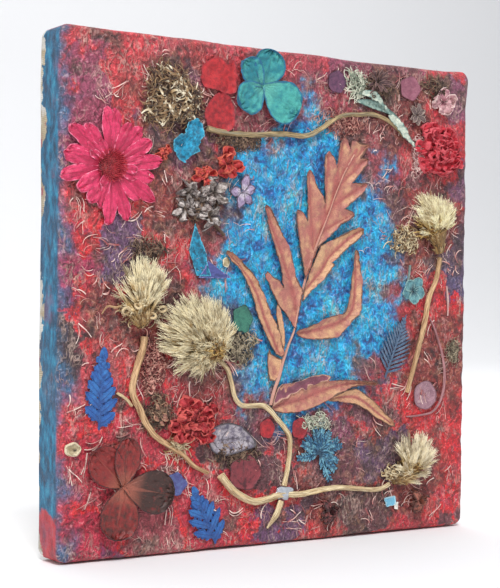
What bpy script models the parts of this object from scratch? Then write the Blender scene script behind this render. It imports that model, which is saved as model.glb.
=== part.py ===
"""A pressed flower frame: a small stretched canvas with dried flowers, seed heads and leaves on it.

Frame: metres, +Z up, the face looks along -Y. The origin is the middle of the underside of the top
stretcher bar, where a nail or a hook bears. Places on the face are written in millimetres from the
middle of the face, x to the right and z up, and a height is measured out from the painted cloth.
"""

import math
import random

import bmesh
import bpy
from mathutils import Vector

MM = 0.001

# The stretched canvas, in millimetres
SIDE = 200.0
DEPTH = 17.0
CLOTH = 0.8
BACK_STRIP = 15.0
FRONT_ROUND = 2.4
BACK_ROUND = 1.2
CORNER_ROUND = 3.5
ROUND_STEPS = 3

# The four stretcher bars
BAR_WIDTH = 20.0
BAR_SLANT = 2.0
BAR_TIP_CUT = 2.0

# What separates two pieces that touch
GAP = 0.3

# The pressed pieces
PETAL = 0.45
LEAF = 0.45
LEAF_STEM_HEIGHT = GAP + LEAF + GAP

# The least length of a petal outside a flower's heart
LEAST_PETAL = 0.5

# The share of a seed head's locks that stand out past the rest
LONG_LOCKS = 0.4

# Where the middle of the face stands above the origin, and the face's own place in depth
BAR_OUTER = SIDE / 2 - CLOTH - GAP
RAIL = BAR_OUTER - BAR_WIDTH
FACE_Y = -DEPTH / 2


def clear_scene():
    """Remove whatever the file holds."""
    for old in list(bpy.data.objects):
        bpy.data.objects.remove(old, do_unlink=True)


def on_face(x, z, height=0.0):
    """A place on the face in millimetres, as a point of the frame in metres."""
    return Vector((x, FACE_Y - height, z - RAIL)) * MM


def material(name, colour, roughness, metallic=0.0):
    """A Principled material; the colour is an sRGB hex string."""
    made = bpy.data.materials.get(name)
    if made is None:
        made = bpy.data.materials.new(name)
        made.use_nodes = True
    levels = [int(colour[i : i + 2], 16) / 255 for i in (1, 3, 5)]
    linear = [v / 12.92 if v <= 0.04045 else ((v + 0.055) / 1.055) ** 2.4 for v in levels]
    shader = made.node_tree.nodes["Principled BSDF"]
    shader.inputs["Base Color"].default_value = (*linear, 1.0)
    shader.inputs["Roughness"].default_value = roughness
    shader.inputs["Metallic"].default_value = metallic
    return made


def add_mesh(name, bm, look, smooth=False):
    """Turn a bmesh into a named object with its faces outward."""
    bmesh.ops.recalc_face_normals(bm, faces=bm.faces)
    mesh = bpy.data.meshes.new(name)
    bm.to_mesh(mesh)
    bm.free()
    made = bpy.data.objects.new(name, mesh)
    bpy.context.scene.collection.objects.link(made)
    mesh.materials.append(look)
    if smooth:
        mesh.shade_smooth()
        mesh.set_sharp_from_angle(angle=math.radians(50))
    return made


def ring_faces(bm, first, second):
    """Quads between two loops of as many points."""
    for i, a in enumerate(first):
        j = (i + 1) % len(first)
        bm.faces.new((a, first[j], second[j], second[i]))


# The canvas and its bars


def rounded_square(bm, half, corner, depth):
    """A loop of points, each corner an arc of ROUND_STEPS steps; depth runs back from the face."""
    loop = []
    for quarter in range(4):
        for step in range(ROUND_STEPS + 1):
            angle = math.radians(90) * (quarter + step / ROUND_STEPS)
            turn = math.radians(90) * quarter + math.radians(45)
            x = math.copysign(half - corner, math.cos(turn)) + corner * math.cos(angle)
            z = math.copysign(half - corner, math.sin(turn)) + corner * math.sin(angle)
            loop.append(bm.verts.new(on_face(x, z, -depth)))
    return loop


def make_canvas():
    """Cloth drawn over the front and the sides and turned in at the back, as one skin."""
    half = SIDE / 2
    inner = half - CLOTH
    loops = []
    for step in range(ROUND_STEPS + 1):
        angle = math.radians(90) * step / ROUND_STEPS
        inset = FRONT_ROUND * (1 - math.sin(angle))
        loops.append((half - inset, CORNER_ROUND - inset, FRONT_ROUND * (1 - math.cos(angle))))
    for step in range(ROUND_STEPS + 1):
        angle = math.radians(90) * step / ROUND_STEPS
        inset = BACK_ROUND * (1 - math.cos(angle))
        loops.append((half - inset, CORNER_ROUND - inset, DEPTH - BACK_ROUND * (1 - math.sin(angle))))
    loops += [
        (half - BACK_STRIP, 0.5, DEPTH),
        (half - BACK_STRIP, 0.5, DEPTH - CLOTH),
        (inner, CORNER_ROUND - CLOTH, DEPTH - CLOTH),
        (inner, CORNER_ROUND - CLOTH, CLOTH),
    ]
    bm = bmesh.new()
    rings = [rounded_square(bm, *loop) for loop in loops]
    for first, second in zip(rings, rings[1:]):
        ring_faces(bm, first, second)
    bm.faces.new(rings[0])
    bm.faces.new(rings[-1])
    add_mesh("canvas", bm, material("painted_canvas", "#A8454F", 0.6))


def make_bar(name, turn):
    """One mitred bar; turn counts quarter turns from the top bar."""
    half = BAR_OUTER
    mitre = GAP / 2 * math.sqrt(2)
    inner = half - BAR_WIDTH
    cut = BAR_TIP_CUT
    plan = [
        (half - cut - mitre, half),
        (half - cut / 2 - mitre, half - cut / 2),
        (inner - mitre, inner),
    ]
    plan += [(-x, z) for x, z in reversed(plan)]
    bm = bmesh.new()
    front, back = [], []
    for x, z in plan:
        slant = BAR_SLANT * (half - z) / BAR_WIDTH
        for _ in range(turn):
            x, z = z, -x
        front.append(bm.verts.new(on_face(x, z, -(CLOTH + GAP + slant))))
        back.append(bm.verts.new(on_face(x, z, -(DEPTH - CLOTH - GAP))))
    ring_faces(bm, front, back)
    bm.faces.new(front)
    bm.faces.new(back)
    add_mesh(name, bm, material("pine", "#CDAA78", 0.65))


# Flat pieces: leaves, blades and single petals


def flat_piece(name, outline, look, layer=0, thickness=PETAL):
    """A pressed piece of even thickness; each layer lies on the one below it."""
    bottom = GAP + layer * (thickness + GAP)
    bm = bmesh.new()
    low = [bm.verts.new(on_face(x, z, bottom)) for x, z in outline]
    high = [bm.verts.new(on_face(x, z, bottom + thickness)) for x, z in outline]
    ring_faces(bm, low, high)
    bm.faces.new(low)
    bm.faces.new(high)
    add_mesh(name, bm, look)


def oval(centre, radii, tilt=0.0, steps=12, bumps=0, bump=0.0):
    """A round or oval outline with an even number of shallow bumps round its edge."""
    points = []
    for i in range(steps):
        angle = math.tau * i / steps
        reach = 1 + bump * math.cos(bumps * angle)
        x = radii[0] * reach * math.cos(angle)
        z = radii[1] * reach * math.sin(angle)
        turn = math.radians(tilt)
        points.append(
            (
                centre[0] + x * math.cos(turn) - z * math.sin(turn),
                centre[1] + x * math.sin(turn) + z * math.cos(turn),
            )
        )
    return points


def fern_outline(tip, base, half_width, pairs):
    """A small frond: a pointed tip and leaflets in pairs that slope towards it."""
    along = Vector((tip[0] - base[0], tip[1] - base[1]))
    length = along.length
    along.normalize()
    across = Vector((along.y, -along.x))
    sides = {1: [], -1: []}
    for side in (1, -1):
        for i in range(pairs):
            share = (i + 0.5) / pairs
            reach = half_width * (0.75 + 0.5 * math.sin(math.pi * share)) * (1.15 - 0.6 * share)
            root = Vector(base) + along * length * (0.12 + 0.72 * i / pairs)
            sides[side].append(root + across * side * half_width * 0.22)
            sides[side].append(root + along * length * 0.09 + across * side * reach)
            sides[side].append(root + along * length * 0.14 + across * side * reach * 0.82)
    stalk = [Vector(base) + across * side * 0.5 for side in (-1, 1)]
    outline = [stalk[1], *sides[1], Vector(tip), *reversed(sides[-1]), stalk[0]]
    return [(point.x, point.y) for point in outline]


# Whole flowers seen from above, each one solid with its petals grown together


def lobe_reach(angle, lobes):
    """How far a ray from the hub runs before it leaves the last of some oval lobes."""
    ray = Vector((math.cos(angle), math.sin(angle)))
    furthest = 0.0
    for x, z, long, short, tilt in lobes:
        turn = math.radians(tilt)
        axis = Vector((math.cos(turn), math.sin(turn)))
        side = Vector((-axis.y, axis.x))
        centre = Vector((x, z))
        a = (ray.dot(axis) / long) ** 2 + (ray.dot(side) / short) ** 2
        b = -2 * (
            ray.dot(axis) * centre.dot(axis) / long**2 + ray.dot(side) * centre.dot(side) / short**2
        )
        c = (centre.dot(axis) / long) ** 2 + (centre.dot(side) / short) ** 2 - 1
        under = b * b - 4 * a * c
        if under > 0:
            furthest = max(furthest, (-b + math.sqrt(under)) / (2 * a))
    return furthest


def flower(name, hub, reach, look, steps, heart, ruffle=0.0):
    """A flower as one body: a thin rim of petals that rises to a rounded heart.

    reach gives the petals' length at an angle in radians; heart is the heart's radius and height;
    ruffle is how far the petals stand up and down, for crumpled flowers.
    """
    heart, heart_height = heart
    bm = bmesh.new()
    low, rim, middle, top = [], [], [], []
    for i in range(steps):
        angle = math.tau * i / steps
        way = Vector((math.cos(angle), math.sin(angle)))
        length = max(reach(angle), heart + LEAST_PETAL)
        lift = ruffle * (0.5 + 0.5 * math.cos(angle * 7) * math.cos(angle * 4))
        between = heart + (length - heart) * 0.55
        rings = [
            (low, length, GAP),
            (rim, length, GAP + PETAL + lift * 0.6),
            (top, heart, GAP + PETAL + 0.25 + heart_height * 0.5),
        ]
        if ruffle:
            rings.append((middle, between, GAP + PETAL + 0.15 + lift))
        for loop, radius, height in rings:
            spot = Vector(hub) + way * radius
            loop.append(bm.verts.new(on_face(spot.x, spot.y, height)))
    crown = bm.verts.new(on_face(*hub, GAP + PETAL + 0.25 + heart_height))
    loops = [loop for loop in (low, rim, middle, top) if loop]
    for first, second in zip(loops, loops[1:]):
        ring_faces(bm, first, second)
    for i, point in enumerate(top):
        bm.faces.new((point, top[(i + 1) % steps], crown))
    bm.faces.new(low)
    add_mesh(name, bm, look)


def petal_ring(count, distance, long, short, start=0.0):
    """Lobes for flower(): the same petal repeated round the hub."""
    lobes = []
    for i in range(count):
        turn = 360 * i / count + start
        angle = math.radians(turn)
        lobes.append((distance * math.cos(angle), distance * math.sin(angle), long, short, turn))
    return lobes


def small_floret(name, hub, radius, look, petals=5, depth=0.3, start=0.0):
    """A little flower with rounded petals and shallow gaps between them."""

    def reach(angle):
        wave = abs(math.cos(petals / 2 * (angle - math.radians(start))))
        return radius * (1 - depth + depth * wave)

    flower(name, hub, reach, look, petals * 4, (radius * 0.28, 0.6))


# Round pieces: stems, and the seed heads' cups and down


def smooth_route(points, steps):
    """Points along a smooth curve through the given ones, steps to each stretch."""
    given = [Vector(point) for point in points]
    ends = [given[0], *given, given[-1]]
    route = []
    for a, b, c, d in zip(ends, ends[1:], ends[2:], ends[3:]):
        for step in range(steps):
            t = step / steps
            bend = (2 * a - 5 * b + 4 * c - d) * t**2 + (3 * b - a - 3 * c + d) * t**3
            route.append((2 * b + (c - a) * t + bend) / 2)
    return [*route, given[-1]]


def stem(name, route, radii, look, steps=2, sides=6, bottom=GAP, flat=1.0):
    """A tube with closed ends, lying on the face along a route of places on it.

    radii are the tube's radius at even steps along it; flat squashes it towards the face.
    """
    path = smooth_route(route, steps)
    bm = bmesh.new()
    loops = []
    for i, point in enumerate(path):
        along = (path[min(i + 1, len(path) - 1)] - path[max(i - 1, 0)]).normalized()
        across = Vector((along.y, -along.x))
        share = i / (len(path) - 1) * (len(radii) - 1)
        low = min(int(share), len(radii) - 2)
        radius = radii[low] + (radii[low + 1] - radii[low]) * (share - low)
        loop = []
        for k in range(sides):
            angle = math.tau * (k + 0.5) / sides
            spot = point + across * radius * math.cos(angle)
            height = bottom + (max(radii) + radius * math.sin(angle)) * flat
            loop.append(bm.verts.new(on_face(spot.x, spot.y, height)))
        loops.append(loop)
    for first, second in zip(loops, loops[1:]):
        ring_faces(bm, first, second)
    bm.faces.new(loops[0])
    bm.faces.new(loops[-1])
    add_mesh(name, bm, look, smooth=True)


def down(name, hub, axis, reach, height, look, seed, spikes=0.16, wide=1.0):
    """The down of a seed head: it spreads from the hub, furthest along the axis, with spiky ends.

    axis is an angle in degrees on the face; reach is (furthest, nearest); height is how far the
    down stands off the face; wide stretches it from side to side.
    """
    furthest, nearest = reach
    chance = random.Random(seed)
    way = Vector((math.cos(math.radians(axis)), 0.0, math.sin(math.radians(axis))))
    bm = bmesh.new()
    bmesh.ops.create_icosphere(bm, subdivisions=3, radius=1.0)
    middle = height * 0.45
    for point in bm.verts:
        ray = point.co.normalized()
        toward = (1 + ray.dot(way)) / 2
        length = nearest + (furthest - nearest) * toward
        lock = spikes if chance.random() < LONG_LOCKS else -0.5 * spikes * chance.random()
        length *= 1 + lock * (0.4 + 0.6 * toward)
        off = -ray.y * (height / (1 + spikes) - middle) * (1 + lock)
        if ray.y > 0:
            off = -ray.y * middle
        x = hub[0] + ray.x * length * wide
        z = hub[1] + ray.z * length
        point.co = on_face(x, z, max(GAP, middle + off))
    add_mesh(name, bm, look)


def make_seed_heads():
    """Five dried seed heads, each with its down, its cup of bracts and its stem."""
    cream = material("seed_down", "#CDBB95", 0.9)
    bract = material("seed_bracts", "#8A6A42", 0.8)
    straw = material("dry_stem", "#B49263", 0.7)
    gold = material("golden_stem", "#B98F4E", 0.65)

    down("left_seed_down", (-69.4, -1.1), 76, (16.0, 3.6), 11.0, cream, seed=1)
    cup = [(-65.4, -14), (-66.8, -11), (-68.2, -8.4)]
    stem("left_seed_cup", cup, (1.5, 3.4, 3.5), bract, sides=8, flat=0.9)
    route = [
        (-64.9, -15.6), (-65.6, -21), (-68, -28), (-69.7, -36.4), (-66.5, -43.4), (-63.8, -49),
        (-59.6, -53.9), (-53.3, -58.1), (-46.3, -62.3), (-41.4, -66.5), (-35.2, -69.3),
    ]
    stem("left_seed_stem", route, (1.3, 1.25, 1.1, 0.7), straw)

    down("round_seed_down", (-38.6, -17.8), 138, (21.0, 5.2), 14.0, cream, seed=2)
    cup = [(-31.2, -24.6), (-32.6, -23.4), (-34.2, -22)]
    stem("round_seed_cup", cup, (1.4, 2.4, 2.4), bract, sides=8)
    route = [
        (-30.4, -25.6), (-26.7, -28.7), (-24.6, -34.3), (-22.9, -39.9), (-19.8, -43),
        (-14.9, -43.4), (-10, -43.4), (-6.5, -45.5), (-2.3, -49.7), (0.5, -52.5), (3.6, -56.7),
        (4, -63), (3, -70), (1.2, -76.6),
    ]
    stem("round_seed_stem", route, (0.8, 0.95, 1.0, 0.95), straw)
    outline = [
        (-1.9, -82.6), (1.0, -82.4), (-1.2, -87), (-4.8, -92.8), (-6.9, -94.2), (-7.2, -92.6),
        (-4.6, -87),
    ]
    flat_piece("split_stem_end", outline, straw, thickness=0.9)

    down("right_seed_down", (77.6, 35.5), 75, (11.5, 3.4), 11.0, cream, seed=3, wide=1.5)
    cup = [(82.6, 20.4), (81.2, 24), (79, 29)]
    stem("right_seed_cup", cup, (1.8, 2.2, 3.2, 3.7), gold, sides=8, flat=0.9)
    route = [
        (83.3, 18.4), (81.5, 9.1), (77.3, 0.7), (75, -9.1), (72.4, -18.2), (70.3, -25.9),
        (68.3, -32.2), (65.9, -40.2),
    ]
    stem("right_seed_stem", route, (1.1, 1.05, 0.95, 1.0), gold)

    down("low_seed_down", (68.6, -72.6), 55, (15.6, 3.2), 11.0, cream, seed=4)
    cup = [(57.9, -78), (60.6, -76.8), (63.8, -75.4)]
    stem("low_seed_cup", cup, (1.2, 2.4, 3.0), gold, sides=8, flat=0.9)
    route = [
        (-29.8, -70.7), (-25.3, -75.6), (-20.5, -79.1), (-13.5, -81.9), (-6.5, -81.2),
        (-0.9, -80), (9.6, -80.5), (20, -79.5), (29, -79.1), (37.5, -79.8), (48, -80.9),
        (52.8, -80.4), (56.2, -79),
    ]
    stem("low_seed_stem", route, (1.5, 1.2, 1.0, 0.95), straw)

    tangle = material("tangled_down", "#9C8560", 0.9)
    down("top_seed_tangle", (-52.8, 77), 120, (14.0, 12.4), 6.0, tangle, seed=5, spikes=0.2)
    route = [
        (-37.2, 65.4), (-30.3, 64.5), (-18.4, 64.5), (-0.9, 66), (9.6, 65.8), (16.6, 68.6),
        (22, 72), (27, 75), (32.6, 76.6), (37.5, 77), (44.5, 77.7), (51.5, 76.3), (58.4, 72.8),
        (62, 70),
    ]
    stem("top_seed_stem", route, (1.1, 1.2, 1.1, 0.7), material("olive_stem", "#8F7A55", 0.75))


def make_cut_leaf():
    """The big cut leaf: a stem with its midrib, and the blades that fork from it."""
    blade = material("leaf_blade", "#A9655C", 0.6)
    rib = material("leaf_rib", "#C08E82", 0.6)
    route = [
        (-4.6, -41.6), (-2.6, -34), (-0.7, -28), (0.7, -24.5), (3.5, -16), (7, -9), (9.1, 0),
        (12.8, 11), (16.8, 22.4), (22.2, 35), (27.2, 45.5), (30.7, 53), (34.2, 58), (37, 61.5),
    ]
    stem("leaf_stem", route, (1.0, 0.9, 0.6, 0.4), rib, bottom=LEAF_STEM_HEIGHT)

    tip = [
        (11, 6.5), (9.6, 12), (8.6, 20), (6.6, 30.5), (7.2, 35.4), (12, 32), (11.8, 45),
        (12.9, 52), (20.6, 41.5), (20.6, 55.6), (22.2, 60), (26.4, 54.8), (30.6, 67),
        (33.6, 63.4), (35.8, 66.4), (43.8, 64.9), (42.4, 60), (35.2, 49.4), (41.8, 48.3),
        (30.8, 37.6), (35.8, 36.2), (29.8, 32), (18.6, 22), (13, 9.5),
    ]
    flat_piece("leaf_tip_blade", tip, blade, thickness=LEAF)

    outline = [
        (12.2, 2), (14.5, 8), (20, 16.6), (28, 24.6), (36, 28), (40.7, 29), (32.9, 20.6),
        (27, 14.6), (24.4, 14.4), (17.5, 8.6),
    ]
    flat_piece("leaf_right_blade", outline, blade, thickness=LEAF)

    outline = [
        (6.5, -13.4), (10.5, -12.6), (21, -7.6), (29.6, -5.8), (34.6, 1), (36, 14), (37.6, 20),
        (40.2, 11), (40.7, 0), (39.4, -4.6), (34, -10), (27.3, -15.2), (14, -17), (9, -16),
    ]
    flat_piece("leaf_curved_blade", outline, blade, thickness=LEAF)

    outline = [
        (7.4, -9.6), (8.8, -3), (9.6, 3.4), (7.6, 9.6), (4.4, 19), (-3, 31), (-8.5, 36.2),
        (-7, 26), (-2.4, 14), (-0.6, 5.4), (-7.8, 10), (-5.4, 2), (1.2, -6),
    ]
    flat_piece("leaf_left_blade", outline, blade, thickness=LEAF)

    outline = [
        (-0.4, -22.6), (2.2, -18.6), (-1.6, -5.8), (-2.8, -10.4), (-6.4, -3), (-12, 6.6),
        (-19.5, 14.2), (-26.4, 18), (-20.6, 8.6), (-15.6, -1), (-10, -10.4), (-5.6, -17.6),
    ]
    flat_piece("leaf_long_blade", outline, blade, thickness=LEAF)

    outline = [
        (-0.8, -45), (5, -38), (10, -34.6), (16, -33), (22.8, -34), (30, -34.4), (40, -34.6),
        (49.4, -35.8), (38.6, -37.2), (30, -39.4), (21, -42), (13.6, -44.8), (6, -46),
    ]
    flat_piece("leaf_low_blade", outline, blade, layer=1, thickness=LEAF)

    outline = [
        (22, -42.6), (31, -38.6), (39.2, -37.6), (45.5, -42.2), (51.8, -48.4), (57.8, -54.1),
        (49, -49.6), (39.2, -45.8), (30, -43.6),
    ]
    flat_piece("leaf_lowest_blade", outline, blade, thickness=LEAF)


def make_flowers():
    """The flowers that keep their round shape."""
    pink = material("daisy_petals", "#C8325F", 0.5)
    rays = petal_ring(15, 12.6, 7.6, 3.7, start=6)
    flower("pink_daisy", (-79.2, 48.6), lambda a: lobe_reach(a, rays), pink, 75, (6.2, 1.3))

    teal = material("teal_sepals", "#2F8488", 0.5)
    sepals = [
        (2.2, 7.4, 7.6, 7.2, 80),
        (-5.6, 4.9, 6.4, 4.8, 140),
        (-6.6, -4.8, 7.2, 6, 215),
        (7.6, -5, 9.6, 8.6, 320),
    ]
    flower("teal_hydrangea", (-11.4, 84.2), lambda a: lobe_reach(a, sepals), teal, 40, (1.2, 0.9))

    maroon = material("maroon_sepals", "#5C2228", 0.6)
    veined = [
        (-8, 8.2, 8.6, 6, 135),
        (3, 10.6, 8.4, 6, 72),
        (11.4, -2.2, 9.4, 7.6, 350),
        (-2.8, -11, 9, 7.6, 255),
    ]
    hub = (-73.4, -72.6)
    flower("maroon_hydrangea", hub, lambda a: lobe_reach(a, veined), maroon, 40, (1.4, 0.8))

    crimson = material("carnation_petals", "#B52F40", 0.7)
    frill = petal_ring(9, 8.4, 5.8, 4.2, start=14)
    hub = (84.2, 65)
    flower("red_carnation", hub, lambda a: lobe_reach(a, frill), crimson, 36, (3.4, 2.2), ruffle=1.6)
    folds = petal_ring(7, 6.6, 4.8, 4.2, start=40)
    hub = (-41.4, -49)
    flower("red_crumpled_flower", hub, lambda a: lobe_reach(a, folds), crimson, 28, (2.6, 1.6), ruffle=1.4)
    umber = material("spiky_petals", "#4B3236", 0.8)
    spikes = petal_ring(11, 4.3, 2.8, 1.0, start=20)
    hub = (47.5, 91.6)
    flower("spiky_flower", hub, lambda a: lobe_reach(a, spikes), umber, 44, (2.2, 1.2), ruffle=0.8)


def make_florets():
    """Small florets, some of them red, scattered over the face."""
    red = material("red_floret", "#B8393A", 0.65)
    small_floret("red_floret_left", (-56.4, 54.4), 3.3, red, petals=4, start=20)
    small_floret("red_floret_middle", (-27.6, 52.4), 6.8, red, start=10)
    small_floret("red_floret_low", (-38.4, 47.6), 4.4, red, petals=4, start=35)
    mauve = material("star_petals", "#8F7187", 0.7)
    small_floret("star_floret", (-20, 41.7), 6.4, mauve, depth=0.42, start=18)
    grey = material("grey_white_petals", "#99878D", 0.75)
    small_floret("white_floret", (-40.4, 37), 6, grey, petals=6, depth=0.4)
    pale = material("pale_pink_petals", "#C79098", 0.7)
    small_floret("pink_floret", (84.4, 86), 6.4, pale, start=50)
    brown = material("grey_brown_petals", "#7D6664", 0.8)
    small_floret("brown_floret", (69.6, 79.4), 5, brown, petals=6, depth=0.45)
    teal = material("teal_star_petals", "#5E8A90", 0.7)
    small_floret("teal_star_flower", (68.6, 3.8), 6.4, teal, depth=0.5, start=12)
    tan = material("tan_petals", "#9A6A55", 0.8)
    small_floret("dry_tan_flower", (-57.2, -45), 4.6, tan, petals=6, depth=0.4)


def make_flat_pieces():
    """Loose petals and leaves, each pressed flat."""
    red = material("red_petal", "#BE3437", 0.6)
    outline = [
        (-24.1, 81.6), (-27.9, 79.8), (-33.5, 81), (-38.1, 81.6), (-40.7, 86), (-38.1, 91.4),
        (-32.1, 93.6), (-28.3, 91.2), (-24.9, 92.6),
    ]
    flat_piece("red_petal_pair", outline, red)
    flat_piece("red_petal_single", oval((-31.4, 73.7), (6.6, 6), steps=14, bumps=3, bump=0.06), red)
    flat_piece("red_petal_low", oval((9, -53.4), (3.9, 4.2), steps=12), red)

    blue = material("blue_petal", "#2C86A6", 0.5)
    outline = [
        (-52.8, 56), (-50.6, 60.6), (-46.8, 62), (-43.6, 67.4), (-39.6, 66.6), (-39.8, 62.2),
        (-41.8, 58.6), (-42.6, 55), (-48, 53.2),
    ]
    flat_piece("blue_crumpled_petal", outline, blue)
    pointed = [(-41.6, 28.4), (-44.2, 17), (-40.8, 10.2), (-35.4, 13), (-38, 17), (-39.4, 22.6)]
    flat_piece("blue_pointed_petal", pointed, blue)
    violet = material("violet_petal", "#4A5AA0", 0.55)
    pointed = [(-40, 7.6), (-26.2, 7.6), (-28.6, 10.6), (-34.6, 12), (-38, 9)]
    flat_piece("violet_pointed_petal", pointed, violet)

    cobalt = material("cobalt_frond", "#3A5FA0", 0.55)
    flat_piece("left_frond", fern_outline((-81.6, -20), (-83.6, -50.6), 4.6, 5), cobalt)
    flat_piece("low_frond", fern_outline((-41.6, -74.6), (-29.4, -98), 6.4, 4), cobalt)
    slate = material("slate_frond", "#54708F", 0.65)
    flat_piece("grey_frond", fern_outline((65, -7), (53.8, -33.6), 5.4, 6), slate)

    lacy = material("lacy_leaf", "#3F7488", 0.65)
    flat_piece("lacy_leaf", oval((20.6, -62.4), (10, 9.4), 20, steps=24, bumps=8, bump=0.14), lacy)
    lilac = material("lilac_leaf", "#7F7186", 0.7)
    outline = [
        (-31.2, -57), (-28.6, -52.8), (-24, -50.4), (-17.6, -52.4), (-12.8, -57.6), (-18, -60.8),
        (-25.6, -62),
    ]
    flat_piece("lilac_leaf", outline, lilac)
    dark = material("dark_petal", "#5E2530", 0.6)
    flat_piece("dark_round_petal", oval((-17.8, -70.2), (7.6, 7), steps=16), dark)
    sage = material("sage_leaf", "#7F8F86", 0.7)
    outline = [
        (37, 82.4), (42, 83.8), (49, 82.6), (56, 79.6), (61.4, 75.2), (61.8, 73), (54.6, 78.2),
        (46, 80),
    ]
    flat_piece("sage_leaf", outline, sage)
    clear = material("pale_disc_petal", "#9A737F", 0.55)
    flat_piece("pale_disc_petal", oval((76, -41.6), (6.4, 6.2), steps=16), clear)
    route = [
        (78.8, -8.6), (81.9, -14), (86, -24.5), (87.2, -32.9), (86.2, -41.3), (81.4, -48.4),
        (73.5, -50.2), (66, -50.6),
    ]
    stem("arched_twig", route, (0.45, 0.5, 0.55, 0.5, 0.35), material("pink_twig", "#A8757A", 0.7))


def main():
    clear_scene()
    make_canvas()
    for turn, place in enumerate(("top", "right", "bottom", "left")):
        make_bar(f"stretcher_bar_{place}", turn)
    make_cut_leaf()
    make_seed_heads()
    make_flowers()
    make_florets()
    make_flat_pieces()


main()
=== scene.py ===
"""The looks of a pressed flower frame: a painted canvas with dried plants fixed on its fibrous face.

Places on the face are written in millimetres from its middle, x to the right and z up, and a height
is measured out from the painted cloth. `Face.at` turns them into the frame's metres.
"""

import logging
import math
import random
from collections.abc import Iterable, Sequence
from dataclasses import dataclass
from enum import Enum

import bpy
import numpy as np
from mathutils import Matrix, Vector, geometry, noise


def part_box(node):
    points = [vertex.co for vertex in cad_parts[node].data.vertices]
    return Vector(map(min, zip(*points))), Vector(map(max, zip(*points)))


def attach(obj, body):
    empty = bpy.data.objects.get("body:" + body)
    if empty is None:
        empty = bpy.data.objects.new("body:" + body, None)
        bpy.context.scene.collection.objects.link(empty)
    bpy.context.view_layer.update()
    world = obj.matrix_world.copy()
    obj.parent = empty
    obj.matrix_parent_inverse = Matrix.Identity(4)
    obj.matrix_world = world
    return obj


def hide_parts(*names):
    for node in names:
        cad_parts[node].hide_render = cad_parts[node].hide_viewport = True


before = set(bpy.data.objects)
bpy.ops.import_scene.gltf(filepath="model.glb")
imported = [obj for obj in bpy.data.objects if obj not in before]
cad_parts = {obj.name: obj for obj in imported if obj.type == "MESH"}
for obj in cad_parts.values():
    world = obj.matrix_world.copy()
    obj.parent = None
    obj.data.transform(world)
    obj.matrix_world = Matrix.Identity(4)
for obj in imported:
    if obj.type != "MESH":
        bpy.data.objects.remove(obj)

LOG = logging.getLogger("pressed_flower_frame")
MM = 0.001
GOLDEN_ANGLE = 2.39996
Point = tuple[float, float]
Socket = bpy.types.NodeSocket
Stops = Sequence[tuple[float, str]]
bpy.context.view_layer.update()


# The face that everything lies on


@dataclass(frozen=True)
class Face:
    """The canvas's painted face: its place in the frame and the relief of its crumpled paper.

    Args:
        low: the lowest corner of the canvas, in metres.
        high: its highest corner.
    """

    low: Vector
    high: Vector

    @property
    def side(self) -> float:
        """The canvas's width in millimetres."""
        return (self.high.x - self.low.x) / MM

    @property
    def depth(self) -> float:
        """How deep the stretched canvas is, in millimetres."""
        return (self.high.y - self.low.y) / MM

    @property
    def middle(self) -> Vector:
        """The middle of the painted face, in metres."""
        return Vector(((self.low.x + self.high.x) / 2, self.low.y, (self.low.z + self.high.z) / 2))

    def at(self, x: float, z: float, height: float = 0.0) -> Vector:
        """A place on the face in millimetres, as a point of the frame in metres."""
        return self.middle + Vector((x, -height, z)) * MM

    def relief(self, x: float, z: float) -> float:
        """How far the crumpled paper stands out of the cloth's plane at a place, in millimetres.

        Args:
            x: first coordinate in mm.
            z: the second.

        Returns:
            The height in mm.
        """
        spot = Vector((x, z, 0.0))
        creases = 1 - abs(noise.noise(spot / 7.5 + Vector((3.1, 0, 5)))) * 3.2
        folds = 1 - abs(noise.noise(spot / 3.4 + Vector((9.4, 2, 1)))) * 3.0
        swell = noise.noise(spot / 31 + Vector((0, 7.7, 2)))
        return 0.34 * max(creases, -0.6) + 0.24 * max(folds, -0.6) + 0.3 * swell - 0.1


FACE = Face(*(Vector(corner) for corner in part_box("canvas")))


# Colours and nodes

# The socket that a node gives back unless another is asked for
USUAL_OUTPUT = {"Mix": 2, "TexNoise": "Fac", "TexWave": "Fac", "Attribute": "Fac", "TexCoord": "Object"}
SMOOTH = {"interpolation_type": "SMOOTHSTEP"}


def linear(code: str) -> tuple[float, float, float, float]:
    """Turn an sRGB hex colour into linear red, green, blue and alpha."""
    levels = [int(code[i : i + 2], 16) / 255 for i in (1, 3, 5)]
    return (*(v / 12.92 if v <= 0.04045 else ((v + 0.055) / 1.055) ** 2.4 for v in levels), 1.0)


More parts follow.
